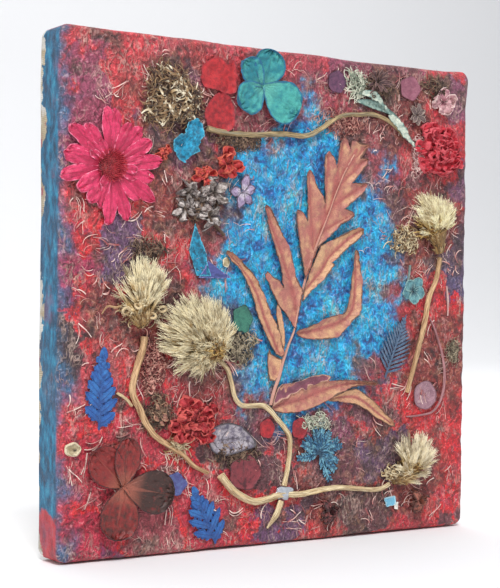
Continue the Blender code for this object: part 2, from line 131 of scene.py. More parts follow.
class Nodes:
    """A new material and its nodes."""

    def __init__(self, name: str) -> None:
        """Start a material of this name with only its surface shader.

        Args:
            name: the material's name.
        """
        self.material = bpy.data.materials.new(name)
        self.material.use_nodes = True
        self.tree = self.material.node_tree
        self.shader = self.tree.nodes["Principled BSDF"]

    def add(
        self, kind: str, inputs: dict | None = None, output: int | str | None = None, stops: Stops = (), **settings
    ) -> Socket:
        """Add a node with its settings and links.

        Args:
            kind: the node's type after "ShaderNode", then for mathematics a space and the operation.
            inputs: sockets by name or number, each with a value, a hex colour or a socket to link.
            output: the socket to give back, if not the usual one.
            stops: places and hex colours, for a node that has such a scale.
            **settings: the node's own properties.

        Returns:
            The chosen output socket.
        """
        kind, _, operation = kind.partition(" ")
        made = self.tree.nodes.new("ShaderNode" + kind)
        if operation:
            made.operation = operation
        if kind == "Mix":
            made.data_type = "RGBA"
        for key, value in settings.items():
            setattr(made, key, value)
        if stops:
            elements = made.color_ramp.elements
            while len(elements) < len(stops):
                elements.new(0.5)
            for element, (place, code) in zip(elements, stops):
                element.position = place
                element.color = linear(code)
        self.feed(made, inputs or {})
        return made.outputs[USUAL_OUTPUT.get(kind, 0) if output is None else output]

    def millimetres(self) -> Socket:
        """The place of what is shaded, in millimetres."""
        return self.add("VectorMath SCALE", {0: self.add("TexCoord"), "Scale": 1000.0})

    def feed(self, target: bpy.types.Node, inputs: dict) -> None:
        """Set or link sockets of a node.

        Args:
            target: the node.
            inputs: a value or another node's socket for each input.
        """
        for key, value in inputs.items():
            if isinstance(value, bpy.types.NodeSocket):
                self.tree.links.new(value, target.inputs[key])
            else:
                target.inputs[key].default_value = linear(value) if isinstance(value, str) else value


@dataclass(frozen=True)
class Finish:
    """A surface finish, made once and shared.

    Args:
        name: the finish's own name.
        slot: the record's material slot that it belongs to; not used.
    """

    name: str
    slot: str

    def dress(self, nodes: Nodes) -> None:
        """Add the finish's nodes; each kind of finish has its own."""
        raise NotImplementedError

    def material(self) -> bpy.types.Material:
        """The finish's material, built on first use.

        Returns:
            The material.
        """
        made = bpy.data.materials.get(self.name)
        if made is None:
            nodes = Nodes(self.name)
            self.dress(nodes)
            made = nodes.material
        return made


@dataclass(frozen=True)
class AcrylicOnFibrePaper(Finish):
    """Acrylic paint worked into crumpled mulberry paper: mottled, with pale fibres that caught less paint.

    The patches' outlines are noise. Cool paint lies in the middle and comes in from the left, with a
    dusky border, warm paint lies elsewhere, and dusky patches of glue, dust and painted shade lie
    round the seed heads.

    Args:
        thread: the cotton's thread spacing in mm, drawn coarser than the real 0.4.
        heads: middles of the dusky patches of glue, dust and painted shade in mm, in the frame's order of axes.
    """

    name: str = "acrylic_on_mulberry_paper"
    slot: str = "painted_canvas"
    thread: float = 0.7
    heads: tuple[tuple[float, float, float], ...] = ((-66, 0, -6), (-36, 0, -22), (78, 0, 30), (66, 0, -76),
                                                     (-50, 0, 74), (-44, 0, 36), (86, 0, -26), (58, 0, 84),
                                                     (26, 0, -78))

    def dress(self, nodes: Nodes) -> None:
        """Paint the front, the brushed sides and the primed cloth at the back.

        Args:
            nodes: the material.
        """
        add = nodes.add
        place = add("TexCoord")
        here = add("VectorMath SUBTRACT", {0: place, 1: tuple(FACE.middle)})
        mm = add("VectorMath SCALE", {0: here, "Scale": 1000.0})
        axes = add("SeparateXYZ", {0: mm})
        x, y, z = (axes.node.outputs[i] for i in range(3))
        front, blots, specks = self.front(nodes, mm, x, z)
        side = self.side(nodes, mm, x, y, z)
        back = self.primed_cloth(nodes, mm)
        turned = add("MapRange", {0: y, 1: 0.9, 2: 2.6}, **SMOOTH)
        rim = add("Math MULTIPLY", {0: turned, 1: add("MapRange", {0: blots, 1: 0.3, 2: 0.7, 3: 0.6, 4: 1.3})})
        paint = add("Mix", {0: rim, 6: front, 7: side})
        behind = add("MapRange", {0: y, 1: FACE.depth - 0.5, 2: FACE.depth - 0.15})
        colour = add("Mix", {0: behind, 6: paint, 7: back})
        bump = add("Bump", {"Height": specks, "Strength": 1.0, "Distance": 0.0013})
        nodes.feed(nodes.shader, {
            "Base Color": colour,
            "Roughness": add("MapRange", {0: specks, 1: 0.3, 2: 0.8, 3: 0.3, 4: 0.6}),
            "Normal": bump,
            "Specular IOR Level": 0.7,
        })

    def front(self, nodes: Nodes, mm: Socket, x: Socket, z: Socket) -> tuple[Socket, Socket, Socket]:
        """The mottled face.

        Args:
            nodes: the material.
            mm: the place on the face in millimetres.
            x: its first coordinate.
            z: its third.

        Returns:
            The colour, a broad pattern and the fine relief.
        """
        add = nodes.add
        broad = add("TexNoise", {"Vector": mm, "Scale": 1 / 34, "Detail": 3.0, "Roughness": 0.55})
        shifted = add("VectorMath", {0: mm, 1: (310.0, 0.0, 170.0)})
        second = add("TexNoise", {"Vector": shifted, "Scale": 1 / 21, "Detail": 4.0, "Roughness": 0.6})
        far = add("VectorMath", {0: mm, 1: (-130.0, 40.0, 520.0)})
        third = add("TexNoise", {"Vector": far, "Scale": 1 / 13, "Detail": 4.0, "Roughness": 0.6})
        crumple = add("TexNoise",
                      {"Vector": mm, "Scale": 1 / 4.2, "Detail": 4.0, "Roughness": 0.6, "Distortion": 1.3})
        grit = add("TexNoise", {"Vector": shifted, "Scale": 1 / 0.9, "Detail": 3.0, "Roughness": 0.6})

        # Cool paint towards the middle
        across = add("Math DIVIDE", {0: add("Math SUBTRACT", {0: x, 1: 14.0}), 1: 44.0})
        up = add("Math DIVIDE", {0: add("Math SUBTRACT", {0: z, 1: 12.0}), 1: 60.0})
        away = add("VectorMath LENGTH", {0: add("CombineXYZ", {0: across, 1: up})}, "Value")
        wander = add("Math MULTIPLY", {0: add("Math SUBTRACT", {0: second, 1: 0.5}), 1: 1.9})
        edge = add("Math ADD", {0: away, 1: wander})
        cool = add("MapRange", {0: edge, 1: 1.12, 2: 0.92}, **SMOOTH)
        dusk = add("MapRange", {0: edge, 1: 1.5, 2: 0.95}, **SMOOTH)

        strayed = add("TexNoise", {"Vector": mm, "Scale": 1 / 9, "Detail": 3.0, "Roughness": 0.6}, "Color")
        stray = add("VectorMath ADD", {0: strayed, 1: (-0.5, -0.5, -0.5)})
        stray = add("VectorMath SCALE", {0: stray, "Scale": 26.0})
        moved = add("VectorMath", {0: mm, 1: stray})
        cells = add("TexVoronoi", {"Vector": moved, "Scale": 1 / 25, "Smoothness": 0.35}, "Color",
                    feature="SMOOTH_F1")
        pick = add("SeparateColor", {0: cells}, 0)
        warm = add("ValToRGB", {0: pick}, stops=(
            (0.0, "#50486E"), (0.1, "#70466A"), (0.18, "#983058"), (0.26, "#CC1C28"), (0.42, "#DA1E26"),
            (0.5, "#B83044"),
            (0.6, "#CE222C"), (0.74, "#DE2A30"), (0.82, "#B04852"), (0.9, "#7A3C46"), (1.0, "#3E282C"),
        ))
        high = add("MapRange", {0: z, 1: 10.0, 2: 90.0, 4: 0.42})
        warm = add("Mix", {0: high, 6: warm, 7: "#B4505A"})
        dusty = add("MapRange", {0: second, 1: 0.55, 2: 0.64}, **SMOOTH)
        dust = add("ValToRGB", {0: crumple}, stops=((0.35, "#35211F"), (0.5, "#5C3A36"), (0.64, "#8C6A5A")))
        warm = add("Mix", {0: add("Math MULTIPLY", {0: dusty, 1: 0.85}), 6: warm, 7: dust})

        cyan = add("Math MULTIPLY", {0: add("Math ADD", {0: third, 1: crumple}), 1: 0.5})
        teal = add("ValToRGB", {0: cyan},
                   stops=((0.38, "#1A4484"), (0.43, "#126AB0"), (0.48, "#0898D2"), (0.56, "#14B0DA"),
                          (0.64, "#6CD0DE")))
        border = add("ValToRGB", {0: second}, stops=((0.36, "#4A3652"), (0.5, "#5E4654"), (0.64, "#2F5A68")))
        colour = add("Mix", {0: add("Math MULTIPLY", {0: dusk, 1: 0.75}), 6: warm, 7: border})

        # Crumpled paper: painted shade darkens the hollows and a painted highlight lightens the ridges
        crease_shade = add("MapRange", {0: crumple, 1: 0.47, 2: 0.36}, **SMOOTH)
        colour = add("Mix", {0: add("Math MULTIPLY", {0: crease_shade, 1: 0.6}), 6: colour, 7: "#5A3038"},
                     blend_type="MULTIPLY")
        ridge_highlight = add("MapRange", {0: crumple, 1: 0.56, 2: 0.7}, **SMOOTH)
        colour = add("Mix", {0: add("Math MULTIPLY", {0: ridge_highlight, 1: 0.35}), 6: colour, 7: "#E8B4AE"},
                     blend_type="SOFT_LIGHT")
        colour = add("Mix", {0: cool, 6: colour, 7: teal})

        # A blue wash that comes over from the left side
        wash = add("Math ADD", {0: x, 1: add("Math MULTIPLY", {0: second, 1: 46.0})})
        washed = add("MapRange", {0: wash, 1: -70.0, 2: -80.0}, **SMOOTH)
        colour = add("Mix", {0: add("Math MULTIPLY", {0: washed, 1: 0.9}), 6: colour,
                             7: add("ValToRGB", {0: third},
                                    stops=((0.4, "#1C4E70"), (0.52, "#2A6E94"), (0.62, "#3C5478")))})

        # Glue, dust and painted shade darken the paper round the seed heads
        for spot in self.heads:
            gap = add("VectorMath DISTANCE", {0: mm, 1: spot}, "Value")
            ragged = add("Math ADD", {0: gap, 1: add("MapRange", {0: third, 1: 0.3, 2: 0.7, 3: -14.0, 4: 14.0})})
            near = add("MapRange", {0: ragged, 1: 27.0, 2: 13.0, 4: 0.72}, **SMOOTH)
            brown = add("ValToRGB", {0: crumple}, stops=((0.36, "#2A1A18"), (0.5, "#54342F"), (0.66, "#8C6A50")))
            colour = add("Mix", {0: near, 6: colour, 7: brown})

        # Fibres drawn as the contour lines of a stretched noise
        fibres = self.fibres(nodes, mm)
        beside = self.fibres(nodes, add("VectorMath", {0: mm, 1: (-0.22, 0.0, 0.3)}))
        shadow = add("Math MULTIPLY", {0: beside, 1: 0.3})
        colour = add("Mix", {0: shadow, 6: colour, 7: "#54303A"}, blend_type="MULTIPLY")
        patchy = add("MapRange", {0: third, 1: 0.46, 2: 0.64, 3: 0.05, 4: 1.0})
        fibre = add("Math MULTIPLY", {0: fibres, 1: patchy})
        pale = add("ValToRGB", {0: broad}, stops=((0.4, "#D8A09A"), (0.6, "#E6C8B6")))
        colour = add("Mix", {0: add("Math MULTIPLY", {0: fibre, 1: 0.42}), 6: colour, 7: pale})
        # Painted light and shade on the paper's fine crinkles: lighter where they rise, darker where they sink
        crinkle = add("TexNoise",
                      {"Vector": far, "Scale": 1 / 2.3, "Detail": 3.0, "Roughness": 0.55, "Distortion": 1.8})
        light = add("MapRange", {0: crinkle, 1: 0.34, 2: 0.64, 3: 0.54, 4: 1.34})
        colour = add("Mix", {0: 1.0, 6: colour, 7: add("CombineColor", {0: light, 1: light, 2: light})},
                     blend_type="MULTIPLY")
        # Painted glints where the crinkles rise highest
        painted_glint = add("MapRange", {0: crinkle, 1: 0.58, 2: 0.7, 4: 0.8}, **SMOOTH)
        colour = add("Mix", {0: painted_glint, 6: colour, 7: "#7C7470"}, blend_type="SCREEN")
        relief = add("Math ADD", {0: crumple, 1: add("Math MULTIPLY", {0: fibre, 1: 0.2})})
        relief = add("Math ADD", {0: relief, 1: add("Math MULTIPLY", {0: crinkle, 1: 0.5})})
        relief = add("Math ADD", {0: relief, 1: add("Math MULTIPLY", {0: grit, 1: 0.25})})
        return colour, second, relief

    def fibres(self, nodes: Nodes, mm: Socket) -> Socket:
        """Thin winding lines, strongest where two layers of fibres cross.

        Args:
            nodes: the material.
            mm: the place on the cloth in millimetres.

        Returns:
            1 on a fibre and 0 beside it.
        """
        add = nodes.add
        lines = []
        for turn, size, shift in ((0.5, 6.2, 11.0), (-0.7, 8.0, 57.0), (1.4, 5.0, 93.0)):
            turned = add("Mapping", {0: mm, 1: (shift, 0.0, shift), 2: (0.0, turn, 0.0), 3: (1.0, 1.0, 0.38)})
            wave = add("TexNoise", {"Vector": turned, "Scale": 1 / size, "Detail": 2.5, "Roughness": 0.5,
                                    "Distortion": 1.4})
            off = add("Math ABSOLUTE", {0: add("Math SUBTRACT", {0: wave, 1: 0.5})})
            lines.append(add("MapRange", {0: off, 1: 0.026, 2: 0.008}, **SMOOTH))
        both = add("Math MAXIMUM", {0: lines[0], 1: lines[1]})
        return add("Math MAXIMUM", {0: both, 1: lines[2]})

    def side(self, nodes: Nodes, mm: Socket, x: Socket, y: Socket, z: Socket) -> Socket:
        """The sides, brushed smooth: blue on the left one, red on the others, bare cloth at the back edge.

        Args:
            nodes: the material.
            mm: the place on the cloth in millimetres.
            x: its first coordinate.
            y: its second, which grows towards the back.
            z: its third.

        Returns:
            The colour.
        """
        add = nodes.add
        strokes = add("Mapping", {0: mm, 3: (0.25, 0.3, 0.14)})
        brush = add("TexNoise", {"Vector": strokes, "Scale": 1.0, "Detail": 5.0, "Roughness": 0.6})
        patch = add("TexNoise", {"Vector": mm, "Scale": 1 / 16, "Detail": 4.0, "Roughness": 0.62})
        blue = add("ValToRGB", {0: brush},
                   stops=((0.34, "#0A3654"), (0.46, "#105678"), (0.56, "#18769C"), (0.7, "#3A9AB8")))
        stain = add("MapRange", {0: patch, 1: 0.57, 2: 0.68}, **SMOOTH)
        blue = add("Mix", {0: add("Math MULTIPLY", {0: stain, 1: 0.5}), 6: blue, 7: "#7A5470"})
        red = add("ValToRGB", {0: brush},
                  stops=((0.3, "#8A1F2E"), (0.48, "#B82C37"), (0.6, "#C83A42"), (0.72, "#B0606A")))
        left = add("MapRange", {0: x, 1: 3 - FACE.side / 2, 2: 1 - FACE.side / 2})
        low = add("Math ADD", {0: z, 1: add("Math MULTIPLY", {0: patch, 1: 26.0})})
        foot = add("MapRange", {0: low, 1: -70.0, 2: -73.0}, **SMOOTH)
        blue = add("Mix", {0: foot, 6: blue, 7: red})
        colour = add("Mix", {0: left, 6: red, 7: blue})
        # Paint stops short of the back edge in places
        reach = add("Math ADD", {0: y, 1: add("MapRange", {0: patch, 1: 0.36, 2: 0.62, 3: -3.0, 4: 3.2})})
        high = add("MapRange", {0: z, 1: 52.0, 2: 60.0, 4: 2.4})
        reach = add("Math ADD", {0: reach, 1: add("Math MULTIPLY", {0: high, 1: left})})
        bare = add("MapRange", {0: reach, 1: FACE.depth - 2.0, 2: FACE.depth - 1.4}, **SMOOTH)
        return add("Mix", {0: bare, 6: colour, 7: self.primed_cloth(nodes, mm)})

    def primed_cloth(self, nodes: Nodes, mm: Socket) -> Socket:
        """Cotton duck with a thin white primer, its threads showing and a few smears of paint.

        Args:
            nodes: the material.
            mm: the place on the cloth in millimetres.

        Returns:
            The colour.
        """
        add = nodes.add
        blot = add("TexNoise", {"Vector": mm, "Scale": 1 / 11, "Detail": 4.0})
        threads = []
        for way in ("X", "Z"):
            threads.append(add("TexWave",
                               {"Vector": mm, "Scale": 0.31 / self.thread, "Distortion": 0.6, "Detail": 1.0},
                               bands_direction=way))
        cloth = add("Math MULTIPLY", {0: threads[0], 1: threads[1]})
        bare = add("ValToRGB", {0: cloth}, stops=((0.0, "#A8977A"), (0.5, "#C9BB9D"), (1.0, "#DDD2B8")))
        primed = add("ValToRGB", {0: cloth}, stops=((0.0, "#CFCBC2"), (1.0, "#EDEAE2")))
        colour = add("Mix", {0: add("MapRange", {0: blot, 1: 0.46, 2: 0.54}), 6: primed, 7: bare})
        smear = add("MapRange", {0: blot, 1: 0.62, 2: 0.68}, **SMOOTH)
        return add("Mix", {0: smear, 6: colour, 7: "#A04A58"})


@dataclass(frozen=True)
class RawCotton(Finish):
    """Unprimed cotton duck seen from behind: warm, soft, its plain weave open to the eye."""

    name: str = "raw_cotton_duck"
    slot: str = "painted_canvas"
    thread: float = 0.7

    def dress(self, nodes: Nodes) -> None:
        """Weave two sets of threads, with slubs and a little paint soaked through.

        Args:
            nodes: the material.
        """
        add = nodes.add
        mm = nodes.millimetres()
        threads = [
            add("TexWave", {"Vector": mm, "Scale": 0.31 / self.thread, "Distortion": 0.9, "Detail": 2.0},
                bands_direction=way)
            for way in ("X", "Z")
        ]
        weave = add("Math MULTIPLY", {0: threads[0], 1: threads[1]})
        slub = add("TexNoise", {"Vector": mm, "Scale": 1 / 9, "Detail": 4.0})
        warp = add("Mix", {0: weave, 6: "#A59274", 7: "#D9CCAE"})
        tone = add("Mix", {0: add("MapRange", {0: slub, 1: 0.35, 2: 0.7}), 6: warp, 7: "#C4B594"},
                   blend_type="MULTIPLY")
        nodes.feed(nodes.shader, {
            "Base Color": tone,
            "Roughness": 0.9,
            "Sheen Weight": 0.25,
            "Normal": add("Bump", {"Height": weave, "Strength": 0.6, "Distance": 0.0003}),
        })


class Axis(Enum):
    """Axes that a stretcher bar can run along."""

    X = 0
    Z = 2


@dataclass(frozen=True)
class PlanedPine(Finish):
    """Planed pine of the stretcher bars: pale, with brown year lines along each bar and small pores.

    Args:
        along: the axis that the bar runs along.
    """

    name: str = "planed_pine"
    slot: str = "pine"
    along: Axis = Axis.X

    def dress(self, nodes: Nodes) -> None:
        """Draw year lines stretched along the bar.

        Args:
            nodes: the material.
        """
        add = nodes.add
        mm = nodes.millimetres()
        stretch = [0.5, 0.5, 0.5]
        stretch[self.along.value] = 0.02
        grain = add("Mapping", {0: mm, 1: (40.0, 12.0, 7.0), 3: tuple(stretch)})
        year = add("TexWave", {"Vector": grain, "Scale": 0.55, "Distortion": 5.0, "Detail": 3.0, "Detail Scale": 0.7},
                   bands_direction="DIAGONAL")
        pores = add("TexNoise", {"Vector": grain, "Scale": 6.0, "Detail": 4.0})
        line = add("MapRange", {0: year, 1: 0.55, 2: 1.0}, **SMOOTH)
        colour = add("Mix", {0: line, 6: "#DDBE8C", 7: "#B98A52"})
        colour = add("Mix", {0: add("MapRange", {0: pores, 1: 0.55, 2: 0.75, 4: 0.5}), 6: colour, 7: "#9A7446"})
        nodes.feed(nodes.shader, {
            "Base Color": colour,
            "Roughness": 0.62,
            "Normal": add("Bump", {"Height": pores, "Strength": 0.3, "Distance": 0.0002}),
        })


@dataclass(frozen=True)
class GalvanisedWire(Finish):
    """Flattened galvanised wire of the staples: grey, slightly dull, with fine drawn lines."""

    name: str = "galvanised_staple_wire"
    slot: str = "painted_canvas"

    def dress(self, nodes: Nodes) -> None:
        """Grey metal with a little tarnish.

        Args:
            nodes: the material.
        """
        add = nodes.add
        mm = nodes.millimetres()
        dull = add("TexNoise", {"Vector": mm, "Scale": 1.6, "Detail": 4.0})
        nodes.feed(nodes.shader, {
            "Base Color": add("Mix", {0: dull, 6: "#8E9094", 7: "#C6C8CB"}),
            "Metallic": 1.0,
            "Roughness": add("MapRange", {0: dull, 1: 0.3, 2: 0.7, 3: 0.28, 4: 0.5}),
        })


# Shared modelling steps


def deselect() -> None:
    """Leave object mode clean, with nothing selected."""
    if bpy.context.mode != "OBJECT":
        bpy.ops.object.mode_set(mode="OBJECT")
    bpy.ops.object.select_all(action="DESELECT")


def settle(piece: bpy.types.Object, name: str, finishes: Sequence[Finish],
           replaced: Sequence[str] = ()) -> bpy.types.Object:
    """Name a finished piece, give it its finishes and let it ride.

    Args:
        piece: the object, in place in its mesh.
        name: its name.
        finishes: its finishes in slot order.
        replaced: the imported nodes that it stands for.

    Returns:
        The same object.
    """
    piece.name = name
    piece.data.name = name
    if not piece.data.materials:
        for finish in finishes:
            piece.data.materials.append(finish.material())
    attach(piece, "root")
    if replaced:
        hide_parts(*replaced)
    LOG.info("%s: %d faces", name, len(piece.data.polygons))
    return piece


def apply_modifier(piece: bpy.types.Object, kind: str, **settings) -> None:
    """Add a modifier with its settings and apply it.

    Args:
        piece: the object.
        kind: the modifier's type.
        settings: its settings.
    """
    deselect()
    piece.select_set(True)
    bpy.context.view_layer.objects.active = piece
    made = piece.modifiers.new(kind.title(), kind)
    for key, value in settings.items():
        setattr(made, key, value)
    bpy.ops.object.modifier_apply(modifier=made.name)


def smooth(piece: bpy.types.Object, angle: float = 40.0) -> None:
    """Shade a piece smooth up to an angle in degrees.

    Args:
        piece: the object.
        angle: greatest angle between faces that look like one.
    """
    deselect()
    piece.select_set(True)
    bpy.context.view_layer.objects.active = piece
    bpy.ops.object.shade_smooth_by_angle(angle=math.radians(angle))


# The holder


@dataclass
class StretchedCanvas:
    """The cloth, drawn over the front and the sides of the bars and stapled at the back.

    Args:
        rows_front: rows of the cloth's grid across half of the front.
        rows_side: rows across a side.
        rows_back: rows across a strip at the back.
        front_round: radius of the front edge in mm.
        back_round: radius of the back edge in mm.
        corner_round: radius of the corners seen from the front, in mm.
        strip: how far the cloth is turned in at the back, in mm.
        cloth: thickness of cloth, ground and paint in mm.
    """

    rows_front: int = 86
    rows_side: int = 9
    rows_back: int = 7
    front_round: float = 2.6
    back_round: float = 1.4
    corner_round: float = 4.2
    strip: float = 15.0
    cloth: float = 0.8
    finishes: tuple[Finish, ...] = (AcrylicOnFibrePaper(), RawCotton())

    def profile(self) -> list[tuple[float, float]]:
        """Half width and depth of the cloth's rings, from the middle of the front to the back strip's edge.

        Returns:
            Half width and depth of each ring in mm.
        """
        half, depth = FACE.side / 2, FACE.depth
        flat = half - self.front_round
        rings = [(flat * i / self.rows_front, 0.0) for i in range(self.rows_front + 1)]
        for i in range(1, 5):
            turn = math.radians(90) * i / 4
            rings.append((flat + self.front_round * math.sin(turn), self.front_round * (1 - math.cos(turn))))
        run = depth - self.front_round - self.back_round
        rings += [(half, self.front_round + run * i / self.rows_side) for i in range(1, self.rows_side)]
        for i in range(4):
            turn = math.radians(90) * i / 3
            rings.append((half - self.back_round * (1 - math.cos(turn)),
                          depth - self.back_round * (1 - math.sin(turn))))
        inner = half - self.back_round
        for i in range(1, self.rows_back + 1):
            rings.append((inner - (self.strip - self.back_round) * i / self.rows_back, depth))
        return rings

    def build(self) -> None:
        """Wrap a square grid of cloth round the bars, ring by ring, and crumple its front."""
        rings = self.profile()
        count = 2 * (len(rings) - 1)
        deselect()
        bpy.ops.mesh.primitive_grid_add(x_subdivisions=count, y_subdivisions=count, size=2.0)
        piece = bpy.context.object
        half_count = len(rings) - 1
        for vertex in piece.data.vertices:
            u, v = vertex.co.x * half_count, vertex.co.y * half_count
            ring = round(max(abs(u), abs(v)))
            half, depth = rings[ring]
            x, z = (u / ring * half, v / ring * half) if ring else (0.0, 0.0)
            x, z = self.round_corner(x, z, half)
            vertex.co = self.drape(x, z, half, depth)
        for finish in self.finishes:
            piece.data.materials.append(finish.material())
        apply_modifier(piece, "SOLIDIFY", thickness=self.cloth * MM, offset=-1.0, material_offset=1,
                       use_even_offset=False)
        smooth(piece, 75)
        settle(piece, "stretched_canvas", self.finishes, ["canvas"])
        cut = (FACE.side + 2 * FACE.depth + 2 * self.strip) * MM

    def round_corner(self, x: float, z: float, half: float) -> Point:
        """Move a point of a square ring onto a ring with rounded corners.

        Args:
            x: its first coordinate in mm.
            z: its second.
            half: half the ring's width.

        Returns:
            The moved point.
        """
        radius = max(0.0, min(self.corner_round, self.corner_round - (FACE.side / 2 - half)))
        start = half - radius
        if radius <= 0 or abs(x) <= start or abs(z) <= start:
            return x, z
        away = Vector((abs(x) - start, abs(z) - start))
        away = away.normalized() * radius
        return math.copysign(start + away.x, x), math.copysign(start + away.y, z)

    def drape(self, x: float, z: float, half: float, depth: float) -> Vector:
        """Place a point of the cloth, with the paper's relief in front and slack cloth at the sides.

        Args:
            x: its first coordinate in mm.
            z: its second.
            half: half the width of its ring.
            depth: how far behind the face it lies.

        Returns:
            Its place in the frame in metres.
        """
        outward = FACE.relief(x, z) * max(0.0, 1 - depth / 4)
        slack = noise.noise(Vector((x / 23, z / 23, 5.0))) * 0.55
        rim = min(1.0, max(0.0, (half - FACE.side / 2 + 6) / 6))
        bulge = 1.3 * math.exp(-((x - 98) ** 2 + (z - 97) ** 2) / 60) * rim
        grow = 1 + (slack + bulge) * rim / (FACE.side / 2)
        if depth >= FACE.depth - 0.01 and half < FACE.side / 2 - 2:
            # The corner's fold: one side of the diagonal lies over the other
            over = abs(x) - abs(z)
            near = max(0.0, 1 - (FACE.side / 2 - min(abs(x), abs(z)) - 2) / 22)
            outward = -0.7 * near * min(1.0, max(0.0, (over + 0.6) / 1.2)) - 0.15 * abs(slack)
        return FACE.at(x * grow, z * grow, outward - depth)


@dataclass
class StretcherBars:
    """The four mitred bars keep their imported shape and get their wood."""

    def build(self) -> None:
        """Dress each bar with its grain along its length."""
        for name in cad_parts:
            if not name.startswith("stretcher_bar"):
                continue
            along = Axis.X if name.endswith(("top", "bottom")) else Axis.Z
            finish = PlanedPine(name=f"planed_pine_{along.name.lower()}", along=along)
            bar = bpy.data.objects[name]
            bar.data.materials.clear()
            bar.data.materials.append(finish.material())
            LOG.info("%s dressed", name)


@dataclass
class Staples:
    """Staples through the turned-in cloth, a few to each side.

    Args:
        each_side: how many hold one side.
        crown: length of a staple's crown in mm.
        wire: width of the wire in mm.
    """

    each_side: int = 5
    crown: float = 10.0
    wire: float = 1.1
    finish: Finish = GalvanisedWire()

    def build(self) -> None:
        """Model one staple with its legs and copy it round the back."""
        chance = random.Random(8)
        made = []
        for side in range(4):
            for i in range(self.each_side):
                along = (i - (self.each_side - 1) / 2) * FACE.side / (self.each_side + 0.6)
                made.append(self.staple(side, along + chance.uniform(-4, 4), chance.uniform(-14, 14)))
        deselect()
        for staple in made:
            staple.select_set(True)
        bpy.context.view_layer.objects.active = made[0]
        bpy.ops.object.join()
        piece = bpy.context.object
        bpy.ops.object.transform_apply(location=True, rotation=True, scale=True)
        settle(piece, "staples", [self.finish])

    def staple(self, side: int, along: float, tilt: float) -> bpy.types.Object:
        """One staple: a bevelled crown whose ends are turned down as legs.

        Args:
            side: which side of the back it holds, 0 to 3.
            along: its place along that side in mm.
            tilt: its turn in degrees.

        Returns:
            The staple.
        """
        deselect()
        bpy.ops.mesh.primitive_cube_add(size=1.0)
        piece = bpy.context.object
        piece.scale = (self.crown * MM, 0.5 * MM, self.wire * MM)
        bpy.ops.object.transform_apply(location=False, rotation=False, scale=True)
        bpy.ops.object.mode_set(mode="EDIT")
        bpy.ops.mesh.select_all(action="SELECT")
        bpy.ops.mesh.subdivide(number_cuts=4)
        bpy.ops.object.mode_set(mode="OBJECT")
        reach = self.crown * MM / 2
        for vertex in piece.data.vertices:
            ends = max(0.0, abs(vertex.co.x) / reach - 0.8) / 0.2
            vertex.co.y -= ends**2 * 0.8 * MM
        apply_modifier(piece, "BEVEL", width=0.12 * MM, segments=2)
        smooth(piece)
        inset = FACE.side / 2 - 8.5
        x, z = ((along, inset), (inset, along), (along, -inset), (-inset, along))[side]
        piece.location = FACE.at(x, z, -FACE.depth - 0.3)
        piece.rotation_euler = (0, math.radians(tilt + (90 if side % 2 else 0)), 0)
        return piece


# Growing things: thin sheets, tubes and strands, in millimetres of the face


def deep(points: np.ndarray) -> np.ndarray:
    """Turn rows of x, z and height on the face in mm into the frame's metres."""
    middle = np.array(FACE.middle)
    return middle + np.stack((points[:, 0], -points[:, 2], points[:, 1]), axis=1) * MM


def as_object(name: str, points: np.ndarray, faces: Sequence[Sequence[int]],
              values: dict[str, np.ndarray]) -> bpy.types.Object:
    """Make an object of points given in mm on the face.

    Args:
        name: the object's name.
        points: rows of x, z and height.
        faces: corners of each face.
        values: numbers to store at each point, by name.

    Returns:
        The new object.
    """
    mesh = bpy.data.meshes.new(name)
    mesh.from_pydata(deep(points).tolist(), [], [list(f) for f in faces])
    for key, numbers in values.items():
        store(mesh, key, numbers)
    piece = bpy.data.objects.new(name, mesh)
    bpy.context.scene.collection.objects.link(piece)
    return piece


def store(mesh: bpy.types.Mesh, key: str, numbers: np.ndarray) -> None:
    """Store a number at each point of a mesh for its material to read.

    Args:
        mesh: the mesh.
        key: the attribute's name.
        numbers: one number for each point.
    """
    made = mesh.attributes.new(key, "FLOAT", "POINT")
    made.data.foreach_set("value", np.asarray(numbers, dtype=np.float32).ravel())


def resample(points: Sequence[Sequence[float]], spacing: float, closed: bool = False) -> np.ndarray:
    """Points at even steps of a smooth curve through the given ones.

    Args:
        points: the given points.
        spacing: distance between steps.
        closed: whether the curve is a loop.

    Returns:
        The points, one to a row.
    """
    given = np.array(points, dtype=float)
    count = len(given)
    pieces = []
    for i in range(count if closed else count - 1):
        a, b, c, d = (given[(i + k) % count] if closed else given[min(max(i + k, 0), count - 1)]
                      for k in (-1, 0, 1, 2))
        steps = max(1, math.ceil(np.linalg.norm(c - b) / spacing))
        t = np.arange(steps)[:, None] / steps
        pieces.append(0.5 * (2 * b + (c - a) * t + (2 * a - 5 * b + 4 * c - d) * t**2
                             + (3 * b - a - 3 * c + d) * t**3))
    if not closed:
        pieces.append(given[-1:])
    return np.vstack(pieces)


def cut_rings(piece: bpy.types.Object, cuts: int) -> None:
    """Cut rings into an upright cone or cylinder.

    Args:
        piece: the cone or cylinder, one unit high.
        cuts: how many rings it gets between its ends.
    """
    bpy.ops.object.mode_set(mode="EDIT")
    bpy.ops.mesh.select_all(action="DESELECT")
    bpy.ops.mesh.select_mode(type="EDGE")
    bpy.ops.object.mode_set(mode="OBJECT")
    for edge in piece.data.edges:
        low, high = (piece.data.vertices[i].co.z for i in edge.vertices)
        edge.select = abs(low - high) > 0.5
    bpy.ops.object.mode_set(mode="EDIT")
    bpy.ops.mesh.subdivide(number_cuts=cuts)
    bpy.ops.object.mode_set(mode="OBJECT")


